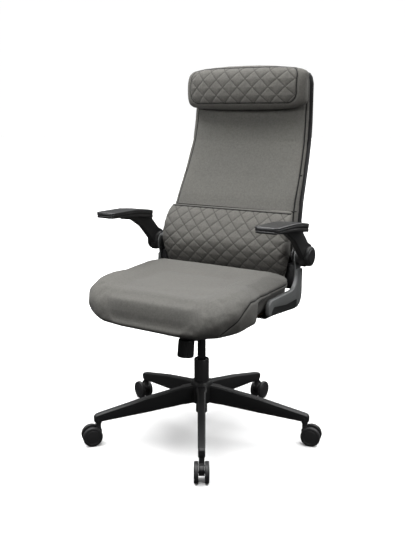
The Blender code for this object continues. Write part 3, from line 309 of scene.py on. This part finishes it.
# The seat cloth is the back cloth's colour times 0.925: painted shade for the stronger light on the
# seat's top
SHADED_SEAT_CLOTH = woven("shaded_seat_cloth", (0.098, 0.096, 0.089), "Y", "seam")
BACK_CLOTH = woven("back_cloth", (0.106, 0.104, 0.096), "Z", "seam")
LUMBAR_CLOTH = woven("lumbar_cloth", (0.104, 0.101, 0.093), "Z", "seam", LUMBAR_QUILTING)
PILLOW_CLOTH = woven("pillow_cloth", (0.104, 0.101, 0.093), "Z", "seam", PILLOW_QUILTING)
# Near-black cloth for the cord in the lumbar fold: painted shade
FOLD_SHADE_CLOTH = woven("fold_shade_cloth", (0.010, 0.010, 0.010), "Z")
PIPING_CLOTH = woven("piping_cloth", (0.070, 0.068, 0.063), "Z")


# ---- Mesh tools ------------------------------------------------------------------------------
def place_piece(obj, body, material):
    """Gives a new piece its body and its material."""
    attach(obj, body)
    obj.data.materials.clear()
    obj.data.materials.append(material)
    return obj


def new_piece(name, shape):
    mesh = bpy.data.meshes.new(name)
    shape.to_mesh(mesh)
    shape.free()
    obj = bpy.data.objects.new(name, mesh)
    bpy.context.scene.collection.objects.link(obj)
    return obj


def smooth(obj, angle=35):
    obj.data.shade_smooth()
    obj.data.set_sharp_from_angle(angle=math.radians(angle))
    return obj


def applied(obj):
    """Bakes an object's modifiers into its mesh."""
    graph = bpy.context.evaluated_depsgraph_get()
    graph.update()
    mesh = bpy.data.meshes.new_from_object(obj.evaluated_get(graph))
    obj.modifiers.clear()
    obj.data = mesh
    mesh.name = obj.name
    return obj


def refined(node, bevel, material, segments=3, angle=28, suffix="_shell"):
    """A copy of a CAD piece whose edges are rounded, standing for it."""
    shape = bmesh.new()
    shape.from_mesh(NODES[node].data)
    bmesh.ops.remove_doubles(shape, verts=shape.verts, dist=WELD)
    bmesh.ops.dissolve_limit(shape, angle_limit=math.radians(1.5), verts=shape.verts,
                             edges=shape.edges)
    obj = new_piece(node + suffix, shape)
    rounding = obj.modifiers.new("round", "BEVEL")
    rounding.width = bevel
    rounding.segments = segments
    rounding.limit_method = "ANGLE"
    rounding.angle_limit = math.radians(angle)
    applied(obj)
    smooth(obj, 50)
    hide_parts(node)
    return place_piece(obj, BODY_OF[node], material)


def lathe(name, profile, segments=64, ripple=None):
    """A turned piece about Z from (radius, z) points down its outer side, closed at the axis.
    ripple(angle, radius, z) changes a radius, for flutes."""
    shape = bmesh.new()
    rings = []
    for radius, z in profile:
        if radius <= 0:
            rings.append([shape.verts.new((0, 0, z))])
            continue
        ring = []
        for k in range(segments):
            angle = 2 * math.pi * k / segments
            reach = radius + (ripple(angle, radius, z) if ripple else 0.0)
            ring.append(shape.verts.new((reach * math.cos(angle), reach * math.sin(angle), z)))
        rings.append(ring)
    for upper, lower in zip(rings, rings[1:]):
        for k in range(segments):
            following = (k + 1) % segments
            if len(upper) == 1 and len(lower) == 1:
                continue
            if len(upper) == 1:
                shape.faces.new((upper[0], lower[k], lower[following]))
            elif len(lower) == 1:
                shape.faces.new((upper[following], upper[k], lower[0]))
            else:
                shape.faces.new((upper[following], upper[k], lower[k], lower[following]))
    if len(rings[0]) > 1:
        for k in range(segments):
            following = (k + 1) % segments
            shape.faces.new((rings[-1][following], rings[-1][k], rings[0][k], rings[0][following]))
    bmesh.ops.recalc_face_normals(shape, faces=shape.faces)
    if shape.calc_volume(signed=True) < 0:
        bmesh.ops.reverse_faces(shape, faces=shape.faces)
    return smooth(new_piece(name, shape))


def turned_to(obj, centre, direction):
    """Moves a turned piece so that its Z axis runs along direction from centre."""
    turn = Vector(direction).to_track_quat("Z", "Y").to_matrix().to_4x4()
    obj.data.transform(Matrix.Translation(centre) @ turn)
    return obj


TREES = {}


def hit(node, start, direction):
    """Where a ray first meets a CAD piece, or None."""
    if node not in TREES:
        mesh = NODES[node].data
        TREES[node] = BVHTree.FromPolygons([v.co for v in mesh.vertices],
                                           [p.vertices for p in mesh.polygons])
    return TREES[node].ray_cast(Vector(start), Vector(direction))[0]


def coords_of(mesh):
    flat = np.empty(len(mesh.vertices) * 3)
    mesh.vertices.foreach_get("co", flat)
    return flat.reshape(-1, 3)


def set_coords(mesh, points):
    mesh.vertices.foreach_set("co", np.ascontiguousarray(points).ravel())
    mesh.update()


def normals_of(mesh):
    flat = np.empty(len(mesh.vertices) * 3)
    mesh.vertex_normals.foreach_get("vector", flat)
    return flat.reshape(-1, 3)


def attribute(mesh, name, values):
    layer = mesh.attributes.new(name, "FLOAT", "POINT")
    layer.data.foreach_set("value", np.ascontiguousarray(values, dtype=np.float32))


def step(t):
    t = np.clip(t, 0.0, 1.0)
    return t * t * (3 - 2 * t)


# ---- Upholstery: blown up by cloth simulation, then quilted and seamed -----------------------
PRESSURE = 4.0
FRAMES = 20


def puffed(name, node, shrink, voxel, cap, resting):
    """A padded cover in a CAD solid's place, shrunk, remeshed and blown up by at most cap.
    resting(points) is true where it is held flat."""
    shape = bmesh.new()
    shape.from_mesh(NODES[node].data)
    bmesh.ops.remove_doubles(shape, verts=shape.verts, dist=WELD)
    bmesh.ops.recalc_face_normals(shape, faces=shape.faces)
    obj = new_piece(name, shape)
    thin = obj.modifiers.new("thin", "DISPLACE")
    thin.strength = -shrink
    thin.mid_level = 0.0
    grid = obj.modifiers.new("grid", "REMESH")
    grid.mode = "VOXEL"
    grid.voxel_size = voxel
    even = obj.modifiers.new("even", "SMOOTH")
    even.factor = 0.5
    even.iterations = 4
    applied(obj)
    start = coords_of(obj.data)
    held = resting(start)
    pins = obj.vertex_groups.new(name="pins")
    pins.add([int(i) for i in np.nonzero(held)[0]], 1.0, "REPLACE")
    cloth = obj.modifiers.new("cloth", "CLOTH")
    cloth.settings.quality = 4
    cloth.settings.mass = 0.3
    cloth.settings.tension_stiffness = 12.0
    cloth.settings.compression_stiffness = 12.0
    cloth.settings.shear_stiffness = 6.0
    cloth.settings.bending_stiffness = 0.6
    cloth.settings.use_pressure = True
    cloth.settings.uniform_pressure_force = PRESSURE
    cloth.settings.effector_weights.gravity = 0.0
    cloth.settings.vertex_group_mass = "pins"
    cloth.point_cache.frame_start = 1
    cloth.point_cache.frame_end = FRAMES
    for number in range(1, FRAMES + 1):
        bpy.context.scene.frame_set(number)
    applied(obj)
    bpy.context.scene.frame_set(1)
    moved = coords_of(obj.data) - start
    length = np.linalg.norm(moved, axis=1, keepdims=True)
    moved *= np.minimum(1.0, cap / np.maximum(length, 1e-9))
    set_coords(obj.data, start + moved)
    finer = obj.modifiers.new("finer", "SUBSURF")
    finer.levels = finer.render_levels = 1
    applied(obj)
    obj.data.shade_smooth()
    return obj


def before(node, reach):
    """True for the points less than reach in front of a CAD piece, where a cover rests on it."""
    def resting(points):
        met = [(hit(node, point, (0, 1, 0)), point) for point in points]
        return np.array([place is not None and place.y - point[1] < reach
                         for place, point in met])
    return resting


def quilt(x, z, width, height, middle):
    """Distance to the nearer of two families of crossing quilting lines, as in the cloth."""
    slope = width / height
    ways = [np.abs(((x + sign * (z - middle) * slope) / width + 0.5) % 1.0 - 0.5)
            for sign in (1, -1)]
    return np.minimum(*ways) * width / math.sqrt(1 + slope * slope)


def pressed(obj, depth):
    """Moves each point along its normal by depth."""
    points = coords_of(obj.data)
    set_coords(obj.data, points + normals_of(obj.data) * depth[:, None])


# Seat: top cloth wraps over the front; a side panel starts at each front corner
seat_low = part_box("seat_cushion")[0]
seat = puffed("seat_cover", "seat_cushion", 0.0020, 0.006, 0.0040,
              lambda p: p[:, 2] < seat_low.z + 0.020)
points = coords_of(seat.data)
x, y, z = points.T

# The foam's front stands up under its crest and tucks in below
tuck = step((-0.170 - y) / 0.10) * (1 - 0.6 * step((np.abs(x) - 0.10) / 0.16))
tuck *= 1 - step((z - 0.438) / 0.075)
points[:, 1] += 0.038 * tuck
points[:, 2] -= 0.010 * tuck
set_coords(seat.data, points)
evened = seat.modifiers.new("evened", "SMOOTH")
evened.factor = 0.5
evened.iterations = 22
applied(seat)
seat.data.shade_smooth()
x, y, z = coords_of(seat.data).T
fall = np.maximum(0.0, (-0.195 - y) / 0.090)
slope = (0.030 + 0.090 * fall) / 0.090
off_seam = (z - 0.5222 - 0.05 * np.maximum(y, -0.08) + 0.030 * fall + 0.045 * fall ** 2)
off_seam /= np.sqrt(1 + slope ** 2 * (fall > 0))
off_seam = np.where(np.abs(x) > 0.225, off_seam, 1.0)
attribute(seat.data, "seam", off_seam)
pressed(seat, -0.0024 * np.exp(-(off_seam / 0.0035) ** 2)
        + 0.0008 * np.sin(9 * x + 3) * np.sin(11 * y + 2))
place_piece(seat, "seat", SHADED_SEAT_CLOTH)
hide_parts("seat_cushion")

# Back panel: a plain middle between sewn border strips, each joined at one height
panel_low, panel_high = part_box("back_panel")
BORDER = 0.012
JOIN_HEIGHT = 0.850
panel = puffed("back_cover", "back_panel", 0.0035, 0.006, 0.007, before("back_frame", 0.012))
points = coords_of(panel.data)
x, y, z = points.T
half_at = {}
for height in np.linspace(panel_low.z + 0.004, panel_high.z - 0.004, 60):
    middle = (hit("back_panel", (0, -1, height), (0, 1, 0)).y + 0.012)
    half_at[height] = hit("back_panel", (1, middle, height), (-1, 0, 0)).x
half = np.interp(z, list(half_at), list(half_at.values()))
off_border = np.abs(x) - (half - BORDER)
off_join = np.where(off_border > 0.0, z - JOIN_HEIGHT, 1.0)
off_seam = np.where(np.abs(off_border) < np.abs(off_join), off_border, off_join)
facing = step((-normals_of(panel.data)[:, 1] - 0.1) / 0.4)
off_seam = np.where(facing > 0.1, off_seam, 1.0)
attribute(panel.data, "seam", off_seam)
pressed(panel, -0.0020 * np.exp(-(off_seam / 0.0035) ** 2) * facing)
place_piece(panel, "seat", BACK_CLOTH)
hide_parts("back_panel")


def quilted(name, node, cloth, quilting, depth, cap, inside, sag=0.0):
    """A quilted pad: diamonds sewn on its front where inside(x, z), the distance in from its
    border seam, is positive. Its lower half falls back by up to sag."""
    pad = puffed(name, node, 0.004, 0.005, cap, before("back_panel", 0.014))
    low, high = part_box(node)
    points = coords_of(pad.data)
    x, y, z = points.T
    lower = np.clip(((low.z + high.z) / 2 + 0.01 - z) / ((high.z - low.z) / 2), 0.0, 1.0) ** 2
    ahead = step((-normals_of(pad.data)[:, 1] + 0.2) / 0.6)
    points[:, 0] *= 1 - 2.2 * sag * lower * step((np.abs(x) - 0.10) / 0.12)
    points[:, 1] += sag * lower * ahead
    set_coords(pad.data, points)
    x, y, z = points.T
    off_line = quilt(x, z, *quilting)
    facing = step((-normals_of(pad.data)[:, 1] + 0.15) / 0.35)
    border = inside(x, z)
    region = facing * step(border / 0.003)
    attribute(pad.data, "seam", np.where(facing > 0.3, border, 1.0))
    attribute(pad.data, "quilted", region)
    pressed(pad, -depth * np.exp(-off_line / 0.0045) * region
            - 0.0018 * np.exp(-(border / 0.003) ** 2) * facing)
    place_piece(pad, "seat", cloth)
    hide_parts(node)
    return pad


def inside_rounded(half_x, low_z, high_z, radius):
    """Distance in from the edge of a rounded rectangle in X and Z."""
    def distance(x, z):
        across = np.abs(x) - (half_x - radius)
        tall = np.abs(z - (low_z + high_z) / 2) - ((high_z - low_z) / 2 - radius)
        corner = np.hypot(np.maximum(across, 0.0), np.maximum(tall, 0.0))
        return radius - corner - np.minimum(np.maximum(across, tall), 0.0)
    return distance


quilted("lumbar_cover", "lumbar_pad", LUMBAR_CLOTH, LUMBAR_QUILTING, 0.0016, 0.009,
        lambda x, z: LUMBAR_HIGH.z - 0.0045 - z, 0.017)
PILLOW_PANEL = (PILLOW_HIGH.x - 0.024, PILLOW_LOW.z + 0.024, PILLOW_HIGH.z - 0.012, 0.034)
pillow = quilted("pillow_cover", "head_pillow", PILLOW_CLOTH, PILLOW_QUILTING, 0.0014, 0.008,
                 inside_rounded(*PILLOW_PANEL))


def tube(name, path, radius, material, body, closed=True):
    """Piping: a round cord through the points of a path."""
    curve = bpy.data.curves.new(name, "CURVE")
    curve.dimensions = "3D"
    curve.bevel_depth = radius
    curve.bevel_resolution = 2
    curve.use_fill_caps = True
    spline = curve.splines.new("POLY")
    spline.points.add(len(path) - 1)
    for point, place in zip(spline.points, path):
        point.co = (*place, 1.0)
    spline.use_cyclic_u = closed
    helper = bpy.data.objects.new(name + "_path", curve)
    bpy.context.scene.collection.objects.link(helper)
    graph = bpy.context.evaluated_depsgraph_get()
    graph.update()
    mesh = bpy.data.meshes.new_from_object(helper.evaluated_get(graph))
    bpy.data.objects.remove(helper, do_unlink=True)
    shape = bmesh.new()
    shape.from_mesh(mesh)
    bmesh.ops.remove_doubles(shape, verts=shape.verts, dist=0.00001)
    bmesh.ops.recalc_face_normals(shape, faces=shape.faces)
    obj = smooth(new_piece(name, shape), 60)
    return place_piece(obj, body, material)


def rounded_loop(half_x, low_z, high_z, radius, spacing=0.004):
    """A rounded rectangle in X and Z, evenly stepped."""
    loop = []
    across, low, high = half_x - radius, low_z + radius, high_z - radius
    corners = ((across, high, 0), (-across, high, 1), (-across, low, 2), (across, low, 3))
    for cx, cz, start in corners:
        for k in range(9):
            angle = math.pi / 2 * (start + k / 8)
            loop.append(Vector((cx + radius * math.cos(angle), 0, cz + radius * math.sin(angle))))
    even = []
    for a, b in zip(loop, loop[1:] + loop[:1]):
        count = max(1, round((b - a).length / spacing))
        even += [a.lerp(b, k / count) for k in range(count)]
    return even


def on_surface(obj, loop, sink):
    """The points of an XZ loop laid on the front of a piece."""
    mesh = obj.data
    tree = BVHTree.FromPolygons([v.co for v in mesh.vertices], [p.vertices for p in mesh.polygons])
    path = []
    for point in loop:
        place = tree.ray_cast(Vector((point.x, -1.0, point.z)), Vector((0, 1, 0)))[0]
        if place:
            path.append(place + Vector((0, sink, 0)))
    return path


tube("pillow_piping", on_surface(pillow, rounded_loop(*PILLOW_PANEL), 0.0008), 0.0011,
     PIPING_CLOTH, "seat")

# A near-black cord laid in the fold where the lumbar pad meets the back panel: painted shade for
# the shadowed gap there
fold = [Vector((LUMBAR_HIGH.x * (k / 60 - 1) * 0.985, 0, LUMBAR_HIGH.z - 0.0005))
        for k in range(121)]
tube("lumbar_fold_shade", on_surface(panel, fold, 0.0002), 0.0017, FOLD_SHADE_CLOTH, "seat",
     closed=False)

# ---- Base and casters ------------------------------------------------------------------------
refined("star_base", 0.0028, BASE_BLACK)
for k in range(1, 6):
    hub = Vector(JOINTS[f"wheel_spin_{k}a"]["pos_m"])
    side = Vector(JOINTS[f"wheel_spin_{k}a"]["axis"])
    refined(f"caster_hood_{k}", 0.0010, BLACK)
    for letter, facing in (("a", 1), ("b", -1)):
        wheel = lathe(f"caster_wheel_{k}{letter}", [
            (0, 0.0138), (0.0060, 0.0137), (0.0150, 0.0134), (0.0205, 0.0130), (0.0214, 0.0121),
            (0.0224, 0.0121), (0.0232, 0.0129), (0.0288, 0.0128), (0.0306, 0.0122),
            (0.0316, 0.0110), (0.0320, 0.0094), (0.0320, 0.0024), (0.0314, 0.0010), (0.0300, 0.0),
            (0.0060, 0.0), (0.0034, 0.0002), (0, 0.0002)], 56)
        turned_to(wheel, hub + side * facing * 0.0095, side * facing)
        place_piece(wheel, f"wheel_{k}{letter}", TREAD)
        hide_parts(f"wheel_{k}{letter}")

# ---- Gas lift --------------------------------------------------------------------------------
tube_low, tube_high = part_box("column_tube")
TUBE_RADIUS = (tube_high.x - tube_low.x) / 2
column = lathe("column_sleeve", [
    (0.0232, tube_high.z - 0.003), (0.0232, tube_high.z), (TUBE_RADIUS - 0.0016, tube_high.z),
    (TUBE_RADIUS - 0.0005, tube_high.z - 0.0006), (TUBE_RADIUS, tube_high.z - 0.0020),
    (TUBE_RADIUS, 0.150), (0.0190, 0.112), (0.0190, tube_low.z + 0.0012),
    (0.0180, tube_low.z), (0.0056, tube_low.z), (0.0056, tube_low.z + 0.004),
    (0.0170, tube_low.z + 0.004), (0.0170, 0.112), (0.0232, 0.150)], 72)
column.data.transform(Matrix.Translation((COLUMN.x, COLUMN.y, 0)))
place_piece(column, "base", COATED)
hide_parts("column_tube")

lift_low, lift_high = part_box("gas_cylinder")
lift = lathe("lift_cylinder", [
    (0.0046, lift_high.z), (0.0123, lift_high.z), (0.0126, lift_high.z - 0.0004),
    (0.0140, lift_high.z - 0.030), (0.0140, lift_low.z + 0.002), (0.0125, lift_low.z),
    (0.0053, lift_low.z), (0.0053, lift_low.z + 0.010), (0.0118, lift_low.z + 0.010),
    (0.0118, 0.330), (0.0046, 0.330)], 64)
lift.data.transform(Matrix.Translation((COLUMN.x, COLUMN.y, 0)))
place_piece(lift, "mechanism", GLOSS)
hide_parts("gas_cylinder")

# ---- Mechanism, knob and lever ---------------------------------------------------------------
refined("mechanism_housing", 0.0012, COATED)
refined("seat_plate", 0.0008, COATED)
knob_axis = Vector(JOINTS["tension_turn"]["axis"]).normalized()
knob_place = Vector(JOINTS["tension_turn"]["pos_m"])


def flutes(angle, radius, z):
    """Grip flutes round the knob's barrel, fading at its ends."""
    along = min(1.0, max(0.0, (-0.014 - z) / 0.006)) * min(1.0, max(0.0, (z + 0.064) / 0.006))
    return -0.0011 * along * (0.5 + 0.5 * math.cos(24 * angle)) ** 2 if radius > 0.02 else 0.0


barrel = [(0.0264 + 0.0006 * k / 14, -0.0140 - 0.0500 * k / 14) for k in range(15)]
knob = lathe("tension_grip", [
    (0.0053, -0.0090), (0.0190, -0.0090), (0.0235, -0.0098), (0.0258, -0.0120), *barrel,
    (0.0262, -0.0662), (0.0245, -0.0674), (0.0150, -0.0675), (0.0140, -0.0668), (0.0125, -0.0668),
    (0.0115, -0.0675), (0, -0.0675), (0, -0.0500), (0.0053, -0.0500)], 120, flutes)
turned_to(knob, knob_place, knob_axis)
place_piece(knob, "knob", BLACK)
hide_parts("tension_knob")
refined("height_lever", 0.0009, COATED)
refined("lever_grip", 0.0015, BLACK, 2, 20)

# The tilt spring, a smoothed copy of the CAD coil
coil_shape = bmesh.new()
coil_shape.from_mesh(NODES["tension_spring"].data)
bmesh.ops.remove_doubles(coil_shape, verts=coil_shape.verts, dist=WELD)
coil = smooth(new_piece("tension_coil", coil_shape), 60)
place_piece(coil, "mechanism", ZINC)
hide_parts("tension_spring")
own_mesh(coil)

# ---- Brackets, frame and arms ----------------------------------------------------------------
for name, sign in SIDES:
    refined(f"side_bracket_{name}", 0.0008, COATED)
    cover = refined(f"bracket_cover_{name}", 0.0010, BRACKET)

    # The panel inside the raised band is painted near-black: painted shade in its recess
    cover.data.materials.append(RECESS_SHADE)
    low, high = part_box(f"bracket_cover_{name}")
    outer = max(abs(low.x), abs(high.x))
    for face in cover.data.polygons:
        middle = face.center
        in_recess_shade = outer - abs(middle.x) > 0.0020 and face.normal.x * sign > 0.9 and middle.z < 0.482
        if in_recess_shade:
            face.material_index = 1
    refined(f"arm_strut_{name}", 0.0035, BLACK, 4)

    axis = Vector((sign, 0, 0))
    cap_low, cap_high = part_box(f"arm_cap_{name}")
    centre = (cap_low + cap_high) / 2
    width = cap_high.x - cap_low.x
    radius = (cap_high.z - cap_low.z) / 2
    cap = lathe(f"arm_cap_disc_{name}", [
        (0, width - 0.0006), (0.0120, width - 0.0004), (radius - 0.0085, width),
        (radius - 0.0068, width - 0.0005), (radius - 0.0060, width - 0.0022),
        (radius - 0.0050, width - 0.0026), (radius - 0.0022, width - 0.0026),
        (radius - 0.0006, width - 0.0038), (radius, width - 0.0060), (radius, 0.0010),
        (radius - 0.0010, 0), (0.0063, 0), (0.0063, width - 0.0060), (0, width - 0.0060)], 64)
    base = Vector((cap_low.x if sign > 0 else cap_high.x, centre.y, centre.z))
    turned_to(cap, base, axis)
    place_piece(cap, f"arm_{name}", BLACK)
    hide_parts(f"arm_cap_{name}")

refined("back_frame", 0.0028, BLACK, 3, 30)


# ---- Arm pads --------------------------------------------------------------------------------
PAD_SECTION = ((12.0, 0.0), (1.6, 0.0), (0.5, 0.4), (0.0, 1.4), (0.0, 3.6), (0.3, 4.2),
               (1.5, 4.6), (1.5, 5.4), (0.3, 5.8), (0.0, 6.4), (0.0, 8.6), (0.5, 10.2),
               (1.8, 11.3), (4.2, 11.8), (12.0, 12.3))
BASE_SECTION = ((10.0, 0.0), (3.0, 0.0), (1.0, 0.5), (0.2, 1.8), (0.0, 4.5), (0.4, 5.1), (1.6, 5.5),
                (1.6, 6.3), (0.5, 6.8), (0.4, 7.8), (2.0, 8.0), (10.0, 8.0))


def pad_piece(name, node, section, tall, under, over, end_radius, material, body):
    """A bar along Y whose sides follow section, in mm in from the side and up; under and over
    give its lower and upper faces along Y."""
    low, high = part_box(node)
    middle, half = (low.x + high.x) / 2, (high.x - low.x) / 2
    count = 56
    shape = bmesh.new()
    rows = []
    for i in range(count + 1):
        t = (1 - math.cos(math.pi * i / count)) / 2
        y = low.y + (high.y - low.y) * t
        near = min(y - low.y, high.y - y)
        radius = end_radius[0] if t < 0.5 else end_radius[1]
        narrow = 0.0
        if near < radius:
            narrow = radius - math.sqrt(max(0.0, radius ** 2 - (radius - near) ** 2))
        narrow = min(narrow, radius * 0.82)
        bottom, top = under(y), over(y)
        pinch = 0.0016 * max(0.0, 1 - near / 0.0016)
        ring = []
        for sign in (1, -1):
            line = section if sign > 0 else section[::-1]
            for inset, up in line:
                z = bottom + pinch + (top - bottom - 2 * pinch) * up / tall
                x = middle + sign * (half - narrow - inset / 1000)
                ring.append(shape.verts.new((x, y, z)))
        rows.append(ring)
    size = len(rows[0])
    for a, b in zip(rows, rows[1:]):
        for k in range(size):
            shape.faces.new((a[k], a[(k + 1) % size], b[(k + 1) % size], b[k]))
    shape.faces.new(rows[0])
    shape.faces.new(rows[-1])
    bmesh.ops.recalc_face_normals(shape, faces=shape.faces)
    obj = smooth(new_piece(name, shape), 50)
    place_piece(obj, body, material)
    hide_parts(node)
    return obj


for name, sign in SIDES:
    pad_node, base_node = f"arm_pad_{name}", f"arm_pad_base_{name}"
    low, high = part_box(pad_node)
    middle = (low.x + high.x) / 2

    def top_of(node, up):
        def height(y):
            near = min(max(y, low.y + 0.004), high.y - 0.004)
            start = (middle, near, 1.0 if up else 0.5)
            return hit(node, start, (0, 0, -1 if up else 1)).z
        return height

    pad = pad_piece(f"arm_pad_skin_{name}", pad_node, PAD_SECTION, 12.3, top_of(pad_node, False),
                    top_of(pad_node, True), (0.011, 0.016), PAD_SKIN, f"arm_{name}")
    pad_piece(f"arm_tray_{name}", base_node, BASE_SECTION, 8.0, top_of(base_node, False),
              top_of(base_node, True), (0.010, 0.014), BLACK, f"arm_{name}")

# ---- CAD pieces that stay --------------------------------------------------------------------
STAYS = (
    (ZINC, ["piston_rod", "retaining_clip", "thrust_bearing", "tilt_axle", "tension_bolt",
            "valve_button", "lock_slider"]),
    (BLACK, ["guide_bushing"]),
    (COATED, [f"caster_stem_{k}" for k in range(1, 6)] + [
        "arm_pivot_bolt_left", "arm_pivot_bolt_right"]),
    (BOARD, ["seat_board"]),
)
for material, nodes in STAYS:
    for node in nodes:
        mesh = NODES[node].data
        for index in range(len(mesh.materials)):
            mesh.materials[index] = material

# ---- Floor and light -------------------------------------------------------------------------
floor_shape = bmesh.new()
bmesh.ops.create_grid(floor_shape, x_segments=1, y_segments=1, size=29.0)
floor = new_piece("floor", floor_shape)
floor.location.z = -0.0002
floor.visible_diffuse = False
floor.visible_glossy = False
pale, tree, shader, place = fresh("pale_floor")
shader.inputs["Base Color"].default_value = (0.92, 0.92, 0.92, 1)
shader.inputs["Roughness"].default_value = 0.8
floor.data.materials.append(pale)
floor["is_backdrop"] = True

# A white backdrop all round, seen but casting no light
dome_shape = bmesh.new()
bmesh.ops.create_uvsphere(dome_shape, u_segments=64, v_segments=32, radius=30.0)
dome = new_piece("backdrop", dome_shape)
white, tree, shader, place = fresh("white_backdrop")
shader.inputs["Base Color"].default_value = (0.0, 0.0, 0.0, 1)
shader.inputs["Emission Color"].default_value = (1.0, 1.0, 1.0, 1)
shader.inputs["Emission Strength"].default_value = 1.0
dome.data.materials.append(white)
dome.visible_diffuse = dome.visible_glossy = dome.visible_transmission = False
dome.visible_shadow = False
dome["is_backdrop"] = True

# Light from a broad bright ceiling, fading to a dark ground
world = bpy.data.worlds.new("studio")
world.use_nodes = True
tree = world.node_tree
up = add(tree, "SeparateXYZ", {0: add(tree, "TexCoord").outputs["Generated"]}).outputs[2]
ramp = add(tree, "ValToRGB", {0: maths(tree, "ADD", maths(tree, "MULTIPLY", up, 0.5), 0.5)})
stops = ((0.0, 0.012), (0.48, 0.012), (0.60, 0.035), (0.72, 0.06), (0.84, 0.12), (0.93, 1.0),
         (1.0, 1.0))
while len(ramp.color_ramp.elements) < len(stops):
    ramp.color_ramp.elements.new(0.5)
for element, (position, level) in zip(ramp.color_ramp.elements, stops):
    element.position = position
    element.color = (level, level, level, 1.0)
sky = tree.nodes["Background"]
tree.links.new(ramp.outputs[0], sky.inputs[0])
sky.inputs[1].default_value = 4.8
bpy.context.scene.world = world


def lamp(name, place, target, size, watts, spread=180):
    light = bpy.data.lights.new(name, "AREA")
    light.shape = "RECTANGLE"
    light.size, light.size_y = size
    light.energy = watts
    light.spread = math.radians(spread)
    obj = bpy.data.objects.new(name, light)
    obj.location = place
    obj.rotation_euler = (Vector(place) - Vector(target)).to_track_quat("Z", "Y").to_euler()
    bpy.context.scene.collection.objects.link(obj)


lamp("key", (-0.9, -0.9, 3.1), (0, 0, 0.7), (1.0, 1.0), 34)
lamp("rim", (2.4, -0.5, 1.5), (0, 0, 0.6), (0.4, 1.6), 14)
lamp("back", (1.0, 2.6, 2.2), (0, 0.1, 0.8), (1.4, 1.4), 22)
lamp("fill", (-0.6, -1.4, 1.45), (0, 0.12, 1.05), (0.7, 0.5), 1.8, 55)

bpy.context.scene.view_settings.view_transform = "Standard"

low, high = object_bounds()
